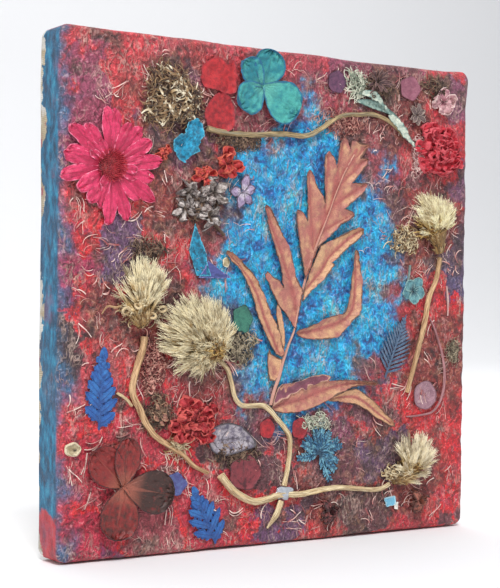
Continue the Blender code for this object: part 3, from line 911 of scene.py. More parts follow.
def strands(
    name: str, paths: np.ndarray, radius: np.ndarray | float, seed: int, rings: int = 5, tip: float = 0.3,
    tone: np.ndarray | None = None,
) -> bpy.types.Object:
    """Many fine strands as one mesh, each a bent copy of one three-sided template.

    Args:
        name: the object's name.
        paths: control points of each strand's Bezier curve, shaped strands by points by 3.
        radius: radius at the root in mm.
        seed: seed of the strands' tones.
        rings: rings of the template.
        tip: share of the radius that is left at the tip.
        tone: each strand's own tone; without it they are random.

    Returns:
        The joined strands, with "along" and "tone" stored.
    """
    deselect()
    bpy.ops.mesh.primitive_cone_add(vertices=3, radius1=1.0, radius2=tip, depth=1.0, end_fill_type="NGON")
    template = bpy.context.object
    cut_rings(template, rings - 2)
    shape = np.array([v.co[:] for v in template.data.vertices])
    corners = [list(f.vertices) for f in template.data.polygons]
    bpy.data.objects.remove(template)

    paths = np.asarray(paths, dtype=float)
    count, degree = len(paths), paths.shape[1] - 1
    t = (shape[:, 2] + 0.5).clip(0, 1)
    weights = np.stack([math.comb(degree, k) * t**k * (1 - t) ** (degree - k) for k in range(degree + 1)])
    middle = np.einsum("kv,nkd->nvd", weights, paths)
    run = paths[:, -1] - paths[:, 0]
    run /= np.linalg.norm(run, axis=1, keepdims=True) + 1e-9
    side = np.cross(run, np.where(np.abs(run[:, 2:]) > 0.9, (1.0, 0, 0), (0, 0, 1.0)))
    side /= np.linalg.norm(side, axis=1, keepdims=True) + 1e-9
    other = np.cross(run, side)
    thick = np.broadcast_to(np.asarray(radius, dtype=float), (count,))[:, None, None]
    points = middle + thick * (shape[None, :, 0:1] * side[:, None] + shape[None, :, 1:2] * other[:, None])
    shift = np.arange(count)[:, None] * len(shape)
    faces: list[list[int]] = []
    for face in corners:
        faces += (np.array(face)[None] + shift).tolist()
    if tone is None:
        tone = np.random.default_rng(seed).random(count)
    values = {"along": np.tile(t, count), "tone": np.repeat(tone, len(shape))}
    return as_object(name, points.reshape(-1, 3), faces, values)


@dataclass(frozen=True)
class DriedDown(Finish):
    """Dried pappus: fine pale hairs, golden at the root and lighter towards the tip, the darker root
    partly painted shade deep in the head; some strands and patches carry painted shade, some a painted highlight.

    Args:
        root: colour at a strand's root.
        body: colour of its middle.
        tip: colour of its tip.
        dark: colour of its painted shade on dark strands and patches.
    """

    root: str = "#7A521C"
    body: str = "#D4B276"
    tip: str = "#FAEFCA"
    dark: str = "#66502C"

    def dress(self, nodes: Nodes) -> None:
        """Colour by the place along a strand, and paint shade or a highlight by each strand's own tone.

        Args:
            nodes: the material.
        """
        add = nodes.add
        along = add("Attribute", {}, attribute_name="along")
        tone = add("Attribute", {}, attribute_name="tone")
        base = add("Mix", {0: add("MapRange", {0: along, 1: 0.05, 2: 0.4}), 6: self.root, 7: self.body})
        pale = add("Mix", {0: add("MapRange", {0: along, 1: 0.35, 2: 0.9}), 6: base, 7: self.tip})
        # Strands of low tone get painted shade, strands of high tone a painted highlight
        shade = add("MapRange", {0: tone, 1: 0.0, 2: 0.36, 3: 0.8, 4: 0.0})
        colour = add("Mix", {0: shade, 6: pale, 7: self.dark})
        glint = add("MapRange", {0: tone, 1: 0.62, 2: 0.95, 3: 0.0, 4: 0.85})
        colour = add("Mix", {0: glint, 6: colour, 7: self.tip})
        mm = nodes.millimetres()
        # Noise paints patches of shade among the hairs
        patch = add("TexNoise", {"Vector": mm, "Scale": 0.35, "Detail": 3.0})
        colour = add("Mix", {0: add("MapRange", {0: patch, 1: 0.5, 2: 0.7, 4: 0.6}), 6: colour, 7: self.dark})
        nodes.feed(nodes.shader,
                   {"Base Color": colour, "Roughness": 0.6, "Sheen Weight": 0.15, "Specular IOR Level": 0.35})


@dataclass(frozen=True)
class DriedStalk(Finish):
    """A dried stalk: long fibres in two tones, the dark tone lying in the furrows between them as painted shade.

    Args:
        light: colour of the fibres.
        dark: colour of the furrows, painted shade.
        patch: colour of worn patches.
    """

    light: str = "#F2E0B6"
    dark: str = "#86643C"
    patch: str = "#D2B280"

    def dress(self, nodes: Nodes) -> None:
        """Streaks that run along the stalk, from the stored length and angle.

        Args:
            nodes: the material.
        """
        add = nodes.add
        along = add("Attribute", {}, attribute_name="along")
        around = add("Attribute", {}, attribute_name="around")
        ring = [add("Math MULTIPLY", {0: add("Math", {0: around}, operation=way), 1: 2.6})
                for way in ("COSINE", "SINE")]
        place = add("CombineXYZ", {0: ring[0], 1: ring[1], 2: add("Math MULTIPLY", {0: along, 1: 0.13})})
        streak = add("TexNoise", {"Vector": place, "Scale": 1.3, "Detail": 4.0, "Roughness": 0.65})
        blot = add("TexNoise", {"Vector": place, "Scale": 0.5, "Detail": 2.0})
        # Low streaks are both the furrows of the bump and the dark tone: painted shade in the furrows
        colour = add("Mix", {0: add("MapRange", {0: streak, 1: 0.36, 2: 0.6}), 6: self.dark, 7: self.light})
        colour = add("Mix", {0: add("MapRange", {0: blot, 1: 0.5, 2: 0.7, 4: 0.7}), 6: colour, 7: self.patch})
        nodes.feed(nodes.shader, {
            "Base Color": colour,
            "Roughness": 0.68,
            "Normal": add("Bump", {"Height": streak, "Strength": 0.7, "Distance": 0.0004}),
        })


@dataclass
class Stem:
    """A dried stalk that lies on the face.

    Args:
        name: its name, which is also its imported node's.
        route: its middle line in mm, each point with an optional height.
        radii: its radius in mm at even steps of its length.
        finish: its finish.
        clear: gap between its underside and the cloth's plane.
        ribs: ribs round it, with their depth as a share of its radius.
        sides: faces round it.
    """

    name: str
    route: Sequence[Sequence[float]]
    radii: Sequence[float]
    finish: Finish
    clear: float = 0.35
    ribs: tuple[int, float] = (3, 0.2)
    sides: int = 14
    replaced: bool = True

    def build(self) -> bpy.types.Object:
        """Cut a cylinder into rings and lay them along the route.

        Returns:
            The stem.
        """
        route = resample([(*p, 0.0) if len(p) == 2 else p for p in self.route], 0.9)
        deselect()
        bpy.ops.mesh.primitive_cylinder_add(vertices=self.sides, radius=1.0, depth=1.0)
        piece = bpy.context.object
        cut_rings(piece, len(route) - 2)

        local = np.array([v.co[:] for v in piece.data.vertices])
        ring = np.rint((local[:, 2] + 0.5) * (len(route) - 1)).astype(int)
        angle = np.arctan2(local[:, 1], local[:, 0])
        gone = np.concatenate(([0.0], np.cumsum(np.linalg.norm(np.diff(route, axis=0), axis=1))))
        radius = np.interp(gone / gone[-1], np.linspace(0, 1, len(self.radii)), self.radii)
        run = np.gradient(route, axis=0)
        run /= np.linalg.norm(run, axis=1, keepdims=True)
        side = np.stack((-run[:, 1], run[:, 0], np.zeros(len(run))), axis=1)
        side /= np.linalg.norm(side, axis=1, keepdims=True)
        up = np.cross(run, side)
        up *= np.where(up[:, 2:] < 0, -1.0, 1.0)
        count, depth = self.ribs
        bulk = 1 + depth * np.cos(count * angle + gone[ring] * 0.12)
        bulk *= (1 + 0.14 * np.array([noise.noise(Vector((g * 0.35, len(self.name), a)))
                                      for g, a in zip(gone[ring], np.cos(angle))]))
        size = (radius[ring] * bulk)[:, None]
        middle = (route[ring] + np.stack((np.zeros(len(ring)), np.zeros(len(ring)), radius[ring] * 1.1 + self.clear),
                                         axis=1))
        points = middle + size * (np.cos(angle)[:, None] * side[ring] + np.sin(angle)[:, None] * up[ring])
        for vertex, place in zip(piece.data.vertices, deep(points)):
            vertex.co = place
        bpy.ops.object.mode_set(mode="EDIT")
        bpy.ops.mesh.select_all(action="SELECT")
        bpy.ops.mesh.normals_make_consistent(inside=False)
        bpy.ops.object.mode_set(mode="OBJECT")
        store(piece.data, "along", gone[ring])
        store(piece.data, "around", angle)
        smooth(piece, 60)
        return settle(piece, self.name, [self.finish], [self.name] if self.replaced else [])


@dataclass
class SeedHead:
    """A round head of down that opens from a cup of bracts.

    Args:
        name: start of its pieces' names.
        hub: middle of the down on the face.
        reach: half width and half height of the down in mm.
        height: how far it stands out of the face.
        cup: middle line of the cup, from the stem to its mouth, each point with its height.
        cup_radii: the cup's radii at even steps.
        tufts: how many tufts it has, each with strands_each strands.
        down: finish of the down.
        bracts: finish of the cup.
    """

    name: str
    hub: Point
    reach: tuple[float, float]
    height: float
    cup: Sequence[Sequence[float]]
    cup_radii: Sequence[float]
    tufts: int
    down: Finish
    bracts: Finish
    lean: Point = (0.0, 0.0)
    strands_each: int = 9
    radius: float = 0.19
    droop: float = 0.0
    scattered: float = 0.6
    tight: float = 0.7
    seed: int = 1

    def build(self) -> None:
        """Model the cup with its bracts and the down."""
        Stem(f"{self.name}_cup", self.cup, self.cup_radii, self.bracts, ribs=(9, 0.1), sides=20).build()
        self.scales()
        paths, tone = self.paths()
        piece = strands(f"{self.name}_down", paths, self.radius, self.seed, tip=0.35, tone=tone)
        settle(piece, f"{self.name}_down", [self.down], [f"{self.name}_down"])

    def mouth(self) -> np.ndarray:
        """Middle of the cup's mouth, with its height.

        Returns:
            The place in mm.
        """
        last = self.cup[-1]
        lift = self.cup_radii[-1] * 1.1 + 0.4 + (last[2] if len(last) > 2 else 0.0)
        return np.array((last[0], last[1], lift))

    def paths(self) -> tuple[np.ndarray, np.ndarray]:
        """Control points and tone of every strand: each runs away from the mouth to its tuft's place on a dome.

        Returns:
            The control points of each strand and its tone.
        """
        chance = np.random.default_rng(self.seed)
        mouth, size = self.mouth(), np.array((*self.reach, self.height - 1.2))
        rows, tones = [], []
        for _ in range(self.tufts):
            # A tuft's tone picks painted shade or a painted highlight in the down's finish
            tone = chance.random()
            way = np.array(self.lean) + chance.normal(size=2)
            way /= np.linalg.norm(way)
            share = math.sqrt(chance.uniform(0.04, 1.0)) * chance.uniform(0.93, 1.03)
            if chance.random() < 0.1:
                share = chance.uniform(1.0, 1.12)
            rise = math.sqrt(max(0.03, 1 - min(share, 1.0) ** 2)) * chance.uniform(0.7, 1.0)
            end = np.array((self.hub[0], self.hub[1], 1.0)) + (way[0], way[1], rise) * size * (share, share, 1)
            lead = mouth + chance.normal(size=3) * (1.3, 1.3, 0.5)
            if chance.random() < self.scattered:
                lead = lead + (end - lead) * (chance.uniform(0.2, 0.62) * np.array((1, 1, 0.9)))
            bow = (lead + end) / 2 + (0, 0, self.height * 0.12) + chance.normal(size=3) * 0.7
            for _ in range(self.strands_each):
                start = lead + chance.normal(size=3) * (0.5, 0.5, 0.3) * self.tight
                middle = bow + chance.normal(size=3) * (1.0, 1.0, 0.7) * self.tight
                stop = (end + chance.normal(size=3) * (1.2, 1.2, 0.8) * self.tight
                        - (end - lead) * chance.random() * 0.2)
                stop[2] -= self.droop * chance.random()
                rows.append((start, middle, stop))
                tones.append(min(1.0, max(0.0, tone + chance.normal() * 0.12)))
        made = np.array(rows)
        made[..., 2] = made[..., 2].clip(0.5, self.height)
        return made, np.array(tones)

    def scales(self) -> None:
        """Thin pointed bracts round the cup, curling away from it at their tips."""
        chance = np.random.default_rng(self.seed + 50)
        route = resample([(*p, 0.0) if len(p) == 2 else p for p in self.cup], 0.5)
        share = np.linspace(0, 1, len(route))
        radius = np.interp(share, np.linspace(0, 1, len(self.cup_radii)), self.cup_radii)
        rows = []
        for _ in range(110):
            place = chance.uniform(0.05, 0.9)
            i = int(place * (len(route) - 1))
            run = route[min(i + 1, len(route) - 1)] - route[max(i - 1, 0)]
            run /= np.linalg.norm(run)
            side = np.array((-run[1], run[0], 0.0))
            angle = chance.uniform(-0.3, math.pi + 0.3)
            out = side * math.cos(angle) + np.array((0, 0, 1.0)) * math.sin(angle)
            start = route[i] + (0, 0, radius[i] * 1.1 + 0.35) + out * radius[i] * 0.93
            middle = start + run * chance.uniform(1.2, 2.0) + out * 0.5
            rows.append((start, middle, middle + run * chance.uniform(0.4, 1.8) + out * chance.uniform(0.3, 1.6)))
        made = np.array(rows)
        made[..., 2] = made[..., 2].clip(0.4, 16)
        piece = strands(f"{self.name}_bracts", made, 0.42, self.seed, rings=4, tip=0.12)
        settle(piece, f"{self.name}_bracts", [self.bracts_finish()])

    def bracts_finish(self) -> Finish:
        """Down-like finish for the bracts: brown with pale dry tips."""
        return DriedDown("dry_bract_scales", "seed_bracts", root="#5E4328", body="#94703F", tip="#D2B98A",
                         dark="#6E5130")


@dataclass
class FibreLitter:
    """Loose mulberry fibres that stand out of the painted paper.

    Args:
        count: how many there are.
        crowded: places that hold more of them, with a spread in mm.
    """

    count: int = 1050
    crowded: Sequence[tuple[float, float, float]] = (
        (-70, -5, 20), (-40, -20, 20), (-50, -58, 16), (-52, 76, 18), (-84, 20, 26), (-84, -60, 22), (70, -70, 22),
        (80, 30, 18), (60, 80, 24), (0, -80, 24), (10, 80, 30),
    )
    finish: Finish = DriedDown(
        "pale_paper_fibres", "painted_canvas", root="#BC7672", body="#DCA69C", tip="#F4DED2", dark="#8E343C"
    )

    def build(self) -> None:
        """Scatter winding fibres over the face, following its relief."""
        chance = np.random.default_rng(4)
        half = FACE.side / 2 - 3
        lobes = [np.array(lobe[1]) for lobe in CutLeaf().lobes()]
        rows, thick = [], []
        while len(rows) < self.count:
            if chance.random() < 0.84:
                x, z, spread = self.crowded[chance.integers(len(self.crowded))]
                place = np.array((x, z)) + chance.normal(size=2) * spread
            else:
                place = chance.uniform(-half, half, size=2)
            turn, step = chance.uniform(0, math.tau), chance.uniform(0.5, 2.2)
            bends = chance.normal(size=5) * 0.62
            for _ in range(chance.integers(1, 5)):
                here = place + chance.normal(size=2) * 1.3
                way = turn + chance.normal() * 0.22
                points = []
                for bend in bends:
                    spot = here
                    points.append((*spot, max(0.05, FACE.relief(*spot)) + chance.uniform(0.05, 0.6)))
                    way += bend + chance.normal() * 0.2
                    here = here + step * np.array((math.cos(way), math.sin(way)))
                flat = np.array(points)[:, :2]
                cool = np.linalg.norm((flat - (14, 12)) / (44, 60), axis=1).min() < 0.85 and chance.random() < 0.8
                if cool or np.abs(flat).max() > half or any(inside(flat, rim).any() for rim in lobes):
                    continue
                rows.append(points)
                thick.append(0.09 + 0.27 * chance.random() ** 2)
        piece = strands("paper_fibres", np.array(rows), np.array(thick), 4, rings=7, tip=0.5)
        settle(piece, "paper_fibres", [self.finish])


GOLD_DOWN = DriedDown("cream_thistle_down", "seed_down")
PALE_DOWN = DriedDown("pale_yellow_down", "seed_down", "#B08438", "#EEDFA4", "#FFF8D4", "#A08048")
WHITE_DOWN = DriedDown("cream_white_down", "seed_down", "#A87830", "#DEC892", "#FBF0D2", "#846A46")
TANGLE = DriedDown("tangled_tan_down", "tangled_down", root="#2E1E1A", body="#5C4234", tip="#A4835E", dark="#2A1C18")
CHAFF = DriedDown("pale_split_chaff", "tangled_down", root="#94744E", body="#CDB48A", tip="#F6ECD2", dark="#6E5238")
BRACTS = DriedStalk("dry_brown_bracts", "seed_bracts", "#A5834E", "#5A4022", "#8A6A42")
STRAW = DriedStalk("dry_straw_stalk", "dry_stem")
AMBER = DriedStalk("amber_stalk", "golden_stem", "#DEB98C", "#744A2E", "#BC9468")
OLIVE = DriedStalk("olive_brown_stalk", "olive_stem", "#C2A87A", "#54442E", "#7C8074")


@dataclass
class SeedHeads:
    """The five heads with the stalks that they grew on."""

    def build(self) -> None:
        """Build heads and stems in the order of their names."""
        heads = (
            SeedHead("left_seed", (-67.0, 4.2), (11.6, 10.6), 11.6, [(-65.6, -12), (-66.8, -9.4), (-67.4, -7)],
                     (1.5, 3.4, 3.6), 120, GOLD_DOWN, BRACTS, lean=(0.05, 0.7), strands_each=13, scattered=0.5,
                     tight=0.6, radius=0.2, seed=11),
            SeedHead("round_seed", (-43.0, -14.6), (17.0, 16.6), 14.6, [(-31.2, -24.6), (-33.4, -23), (-36, -21.4)],
                     (1.4, 2.4, 2.6), 330, GOLD_DOWN, BRACTS, lean=(-0.25, 0.1), strands_each=11, scattered=0.8,
                     tight=0.75, seed=12),
            SeedHead("right_seed", (78.4, 37.2), (12.6, 8.4), 10.6, [(82.6, 20.4), (81.2, 24), (78.6, 29)],
                     (1.8, 2.2, 3.4, 4.2), 170, PALE_DOWN, BRACTS, lean=(-0.05, 0.6), strands_each=11, scattered=0.6,
                     seed=13),
            SeedHead("low_seed", (69.2, -68.8), (12.4, 11.6), 10.6, [(57.9, -78), (61, -77), (65.4, -75.2)],
                     (1.2, 2.4, 3), 84, WHITE_DOWN, BRACTS, lean=(0.25, 0.9), strands_each=22, scattered=0.25,
                     tight=0.6, seed=14),
        )
        for head in heads:
            head.build()
        for name, reach, count, finish, thick, mat, replaced in (
            ("top_seed_tangle", (11.4, 10.8), 620, TANGLE, (0.16, 0.4), 0.6, True),
            ("top_seed_straws", (9.2, 9.0), 125, CHAFF, (0.34, 0.72), 0.0, False),
        ):
            Tangle(name, (-53, 76.4), reach, 4.4, count, finish, thick, (0.6, 1.9), 0.55, None, mat, 21,
                   replaced).build()
        for stem in self.stems():
            stem.build()

    def stems(self) -> tuple[Stem, ...]:
        """The stalks.

        Returns:
            The stalks in the order of building.
        """
        return (
            Stem("left_seed_stem", [(-64.9, -15.6), (-65.6, -21), (-68, -28), (-69.7, -36.4), (-66.5, -43.4),
                 (-63.8, -49), (-59.6, -53.9), (-53.3, -58.1), (-46.3, -62.3), (-41.4, -66.5), (-35.2, -69.3)],
                 (1.3, 1.3, 1.2, 1.1, 0.9, 0.7), AMBER),
            Stem("round_seed_stem", [(-30.4, -25.6), (-26.7, -28.7), (-24.6, -34.3), (-22.9, -39.9), (-19.8, -43),
                 (-14.9, -43.4), (-10, -43.4), (-6.5, -45.5), (-2.3, -49.7), (0.5, -52.5), (3.6, -56.7), (4, -63),
                 (3, -70), (1.2, -76.6)], (0.8, 0.9, 1.0, 1.0, 0.9, 1.0), STRAW),
            Stem("split_stem_end", [(-0.2, -82.6), (-2.6, -88), (-6.6, -93.4)], (1.0, 1.2, 0.5), STRAW,
                 ribs=(2, 0.35)),
            Stem("right_seed_stem", [(83.3, 18.4), (81.5, 9.1), (77.3, 0.7), (75, -9.1), (72.4, -18.2), (70.3, -25.9),
                 (68.3, -32.2), (65.9, -40.2)], (1.0, 1.05, 1.1, 1.0, 0.9), AMBER),
            Stem("low_seed_stem", [(-29.8, -70.7), (-25.3, -75.6), (-20.5, -79.1), (-13.5, -81.9), (-6.5, -81.2),
                 (-0.9, -80), (9.6, -80.5), (20, -79.5), (29, -79.1), (37.5, -79.8), (48, -80.9), (52.8, -80.4),
                 (56.2, -79)], (1.5, 1.4, 1.2, 1.1, 1.0, 0.95), STRAW),
            Stem("top_seed_stem", [(-37.2, 65.4), (-30.3, 64.5), (-18.4, 64.5), (-0.9, 66), (9.6, 65.8), (16.6, 68.6),
                 (22, 72), (27, 75), (32.6, 76.6), (37.5, 77), (44.5, 77.7), (51.5, 76.3), (58.4, 72.8), (62, 70)],
                 (1.1, 1.05, 1.0, 0.9, 0.7), OLIVE),
        )


@dataclass(frozen=True)
class DriedPetal(Finish):
    """A pressed petal or leaf: two tones in soft blots, fine veins and a rim of another colour.

    Args:
        body: its main colour.
        mottle: colour of its blots.
        rim: colour of its edge.
        vein: colour of its veins.
        heart: colour at its root or midrib.
        rim_width: width of the rim in mm.
        vein_width: width of a vein.
        vein_share: how strongly veins show.
        blot: size of the blots in mm.
        rough: its roughness.
        tone_share: how much copies differ in tone.
    """

    body: str = "#B04050"
    mottle: str = "#903040"
    rim: str = "#702030"
    vein: str = "#602028"
    heart: str = "#602028"
    rim_width: float = 0.5
    vein_width: float = 0.2
    vein_share: float = 0.7
    blot: float = 2.4
    rough: float = 0.6
    tone_share: float = 0.1

    def dress(self, nodes: Nodes) -> None:
        """Mix the tones from the stored distances to the rim and to the nearest vein.

        Args:
            nodes: the material.
        """
        add = nodes.add
        rim, vein, along, tone = (add("Attribute", {}, attribute_name=n) for n in ("rim", "vein", "along", "tone"))
        mm = nodes.millimetres()
        blots = add("TexNoise", {"Vector": mm, "Scale": 1 / self.blot, "Detail": 4.0, "Roughness": 0.62})
        fine = add("TexNoise", {"Vector": mm, "Scale": 2.2, "Detail": 3.0, "Roughness": 0.6})
        lot = add("Math ADD", {0: blots, 1: add("MapRange", {0: tone, 3: -self.tone_share, 4: self.tone_share})})
        colour = add("Mix", {0: add("MapRange", {0: lot, 1: 0.38, 2: 0.64}), 6: self.body, 7: self.mottle})
        colour = add("Mix", {0: add("MapRange", {0: along, 1: 0.4, 2: 0.08}), 6: colour, 7: self.heart})
        torn = add("Math ADD", {0: rim, 1: add("MapRange", {0: blots, 1: 0.3, 2: 0.7, 3: -0.4, 4: 0.4})})
        edge = add("MapRange", {0: torn, 1: self.rim_width, 2: self.rim_width * 0.25}, **SMOOTH)
        colour = add("Mix", {0: add("Math MULTIPLY", {0: edge, 1: 0.85}), 6: colour, 7: self.rim})
        line = add("MapRange", {0: vein, 1: self.vein_width, 2: self.vein_width * 0.3}, **SMOOTH)
        colour = add("Mix", {0: add("Math MULTIPLY", {0: line, 1: self.vein_share}), 6: colour, 7: self.vein})
        shade = add("MapRange", {0: fine, 1: 0.3, 2: 0.7, 3: 0.8, 4: 1.2})
        colour = add("Mix", {0: 1.0, 6: colour, 7: add("CombineColor", {0: shade, 1: shade, 2: shade})},
                     blend_type="MULTIPLY")
        relief = add("Math ADD", {0: fine, 1: add("Math MULTIPLY", {0: line, 1: 0.7})})
        nodes.feed(nodes.shader, {
            "Base Color": colour,
            "Roughness": self.rough,
            "Sheen Weight": 0.12,
            "Normal": add("Bump", {"Height": relief, "Strength": 0.6, "Distance": 0.0003}),
        })


@dataclass(frozen=True)
class Petal:
    """The shape of one petal, root at its start.

    Args:
        length: from root to tip in mm.
        width: at its widest.
        root: width at the root, as a share.
        peak: where it is widest, as a share of the length.
        tip: exponent of the tip's outline; 1 is pointed, 2 round and 4 blunt.
        cup: how far its sides stand above its middle line, in mm.
        arch: how far its middle stands above root and tip.
        grooves: furrows along it.
        ruffle: how far its outer half waves up and down.
        fan: angles of veins that spread from the root.
    """

    length: float
    width: float
    root: float = 0.3
    peak: float = 0.6
    tip: float = 2.0
    cup: float = 0.3
    arch: float = 0.2
    grooves: int = 0
    ruffle: float = 0.1
    fan: Sequence[float] = (-36, -20, -8, 8, 20, 36)

    def half_width(self, v: np.ndarray) -> np.ndarray:
        """Half of its width at shares of its length.

        Args:
            v: shares of its length.

        Returns:
            Half the width at each share, in mm.
        """
        rising = self.root + (1 - self.root) * np.sin(np.pi / 2 * (v / self.peak).clip(0, 1))
        closing = np.sqrt((1 - ((v - self.peak) / (1 - self.peak)).clip(0, 1) ** self.tip).clip(0.0004, 1))
        return self.width / 2 * np.where(v < self.peak, rising, closing)


class Petals:
    """Copies of one grid, each shaped as a petal and placed in space."""

    def __init__(self, across: int = 8, along: int = 12) -> None:
        """Model the grid that every petal starts from.

        Args:
            across: faces across the grid.
            along: faces along it.
        """
        deselect()
        bpy.ops.mesh.primitive_grid_add(x_subdivisions=across, y_subdivisions=along, size=2.0)
        grid = bpy.context.object
        shape = np.array([v.co[:] for v in grid.data.vertices])
        self.faces = np.array([list(f.vertices) for f in grid.data.polygons])
        bpy.data.objects.remove(grid)
        self.u, v = shape[:, 0], (shape[:, 1] + 1) / 2
        self.v = np.sin(v * math.pi / 2) * 0.6 + v * 0.4
        self.rows: list[np.ndarray] = []
        self.values: dict[str, list[np.ndarray]] = {"rim": [], "vein": [], "along": [], "tone": []}

    def add(self, petal: Petal, origin: Sequence[float], turn: float, tilt: float, tone: float) -> None:
        """Place a petal.

        Args:
            petal: its shape.
            origin: x, z and height of its root in mm.
            turn: its direction on the face in degrees.
            tilt: how steeply it rises from the face in degrees.
            tone: its own shade and the start of its ruffle, 0 to 1.
        """
        u, v = self.u, self.v
        half = petal.half_width(v)
        x, y = u * half, v * petal.length
        lift = (petal.cup * u**2 + petal.arch * np.sin(np.pi * v)
                + 0.12 * petal.arch * np.cos(u * np.pi * 2 * petal.grooves))
        if petal.grooves:
            lift += 0.16 * np.cos(u * np.pi * petal.grooves) * np.sin(np.pi * v.clip(0, 1))
        if petal.ruffle:
            wave = [noise.noise(Vector((a * 2.1, b * 2.4, tone * 40)))
                    for a, b in zip(u * petal.width / 5, v * petal.length / 5)]
            lift += petal.ruffle * np.array(wave) * (0.25 + v**1.5) * 1.8
        a, b = math.radians(turn), math.radians(tilt)
        ahead = np.array((math.cos(a) * math.cos(b), math.sin(a) * math.cos(b), math.sin(b)))
        side = np.array((-math.sin(a), math.cos(a), 0.0))
        points = np.array(origin) + np.outer(y, ahead) + np.outer(x, side) + np.outer(lift, np.cross(ahead, side))
        points[:, 2] = points[:, 2].clip(0.3)
        self.rows.append(points)
        fan = [abs(x * math.cos(math.radians(t)) - y * math.sin(math.radians(t))) for t in petal.fan]
        self.values["rim"].append(np.minimum(half * (1 - abs(u)), petal.length * (1 - v)))
        self.values["vein"].append(np.min(fan, axis=0) if fan else np.full(len(u), 9.0))
        self.values["along"].append(v)
        self.values["tone"].append(np.full(len(u), tone))

    def join(self, name: str, thickness: float = 0.22) -> bpy.types.Object:
        """Join the copies and give them their thickness.

        Args:
            name: the object's name.
            thickness: their thickness in mm.

        Returns:
            The joined petals.
        """
        shift = np.arange(len(self.rows))[:, None, None] * len(self.u)
        faces = (self.faces[None] + shift).reshape(-1, self.faces.shape[1])
        values = {key: np.concatenate(rows) for key, rows in self.values.items()}
        piece = as_object(name, np.concatenate(self.rows), faces.tolist(), values)
        apply_modifier(piece, "SOLIDIFY", thickness=thickness * MM, offset=-1.0)
        smooth(piece, 70)
        return piece


def joined(parts: Iterable[tuple[bpy.types.Object, Finish]]) -> bpy.types.Object:
    """Join objects that each have their own finish.

    Args:
        parts: the objects, each with its finish.

    Returns:
        The joined object.
    """
    parts = list(parts)
    deselect()
    for piece, finish in parts:
        piece.data.materials.append(finish.material())
        piece.select_set(True)
    bpy.context.view_layer.objects.active = parts[0][0]
    if len(parts) > 1:
        bpy.ops.object.join()
    return bpy.context.view_layer.objects.active


@dataclass(frozen=True)
class Whorl:
    """A ring of equal petals.

    Args:
        count: how many.
        petal: their shape.
        inset: distance of their roots from the hub in mm.
        tilt: how steeply they rise in degrees.
        height: height of their roots.
        start: direction of the first in degrees.
        loose: how unevenly they lie, as a share.
    """

    count: int
    petal: Petal
    inset: float
    tilt: float = 3.0
    height: float = 0.6
    start: float = 0.0
    loose: float = 0.25


@dataclass
class Flower:
    """A pressed flower seen from above: whorls of petals round a heart of florets.

    Args:
        name: its name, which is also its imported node's.
        hub: its middle on the face.
        whorls: its petals, outermost first.
        finish: finish of the petals.
        heart: radius and height of its heart in mm and how many florets it has.
        heart_finish: finish of the heart.
        grid: faces across and along each petal.
    """

    name: str
    hub: Point
    whorls: Sequence[Whorl]
    finish: Finish
    heart: tuple[float, float, int] = (1.0, 0.9, 16)
    heart_finish: Finish | None = None
    seed: int = 3
    replaced: bool = True
    grid: tuple[int, int] = (8, 12)

    def build(self) -> bpy.types.Object:
        """Place the whorls and the heart and join them.

        Returns:
            The flower.
        """
        chance = random.Random(self.seed)
        petals = Petals(*self.grid)
        for whorl in self.whorls:
            for i in range(whorl.count):
                turn = whorl.start + 360 * i / whorl.count + chance.uniform(-1, 1) * whorl.loose * 180 / whorl.count
                a = math.radians(turn)
                origin = (self.hub[0] + whorl.inset * math.cos(a), self.hub[1] + whorl.inset * math.sin(a),
                          whorl.height + 0.35 * (i % 2) + chance.random() * 0.1)
                size = 1 + chance.uniform(-0.3, 0.2) * whorl.loose
                petal = Petal(**{**whorl.petal.__dict__, "length": whorl.petal.length * size})
                petals.add(petal, origin, turn, whorl.tilt * chance.uniform(0.4, 1.5), chance.random())
        self.extra(petals)
        piece = joined([(petals.join(self.name), self.finish), (self.florets(), self.heart_finish or self.finish)])
        return settle(piece, self.name, [self.finish], [self.name] if self.replaced else [])

    def extra(self, petals: Petals) -> None:
        """Petals beyond the whorls; a plain flower has none."""

    def florets(self) -> bpy.types.Object:
        """The heart: short thick florets in a sunflower spiral on a low dome.

        Returns:
            The heart.
        """
        radius, height, count = self.heart
        chance = np.random.default_rng(self.seed)
        rows = []
        for i in range(count):
            share = math.sqrt((i + 0.5) / count)
            a = i * GOLDEN_ANGLE
            away = np.array((math.cos(a), math.sin(a)))
            low = np.array((*(self.hub + away * radius * share), 0.5 + height * (1 - 0.45 * share**2) * 0.6))
            lean = np.array((*(away * share * 0.5), 1.0)) * height * 0.55
            rows.append((low, low + lean * 0.5, low + lean + chance.normal(size=3) * 0.12))
        size = max(0.16, radius / math.sqrt(count) * 0.62)
        piece = strands(f"{self.name}_heart", np.array(rows), size, self.seed, rings=3, tip=0.55)
        for key, numbers in (("rim", 9.0), ("vein", 9.0)):
            store(piece.data, key, np.full(len(piece.data.vertices), numbers))
        return piece


@dataclass
class Hydrangea(Flower):
    """Four broad sepals of uneven size round a small bud.

    Args:
        sepals: each one's middle from the hub, its half length and half width in mm.
    """

    sepals: Sequence[tuple[float, float, float, float]] = ()
    grid: tuple[int, int] = (24, 26)
    fan: Sequence[float] = (-52, -40, -30, -20, -12, -5, 0, 5, 12, 20, 30, 40, 52)

    def extra(self, petals: Petals) -> None:
        """Place the sepals, each over the one before.

        Args:
            petals: the flower's petals.
        """
        for i, (x, z, long, short) in enumerate(self.sepals):
            away = math.hypot(x, z)
            petal = Petal(away + long, short * 2.1, 0.14, 0.6, 2.2, 0.9, 0.5, 0, 0.7, self.fan)
            petals.add(petal, (*self.hub, 0.7 + 0.4 * i), math.degrees(math.atan2(z, x)), 6.0,
                       (0.1, 0.3, 0.42, 0.95)[i])




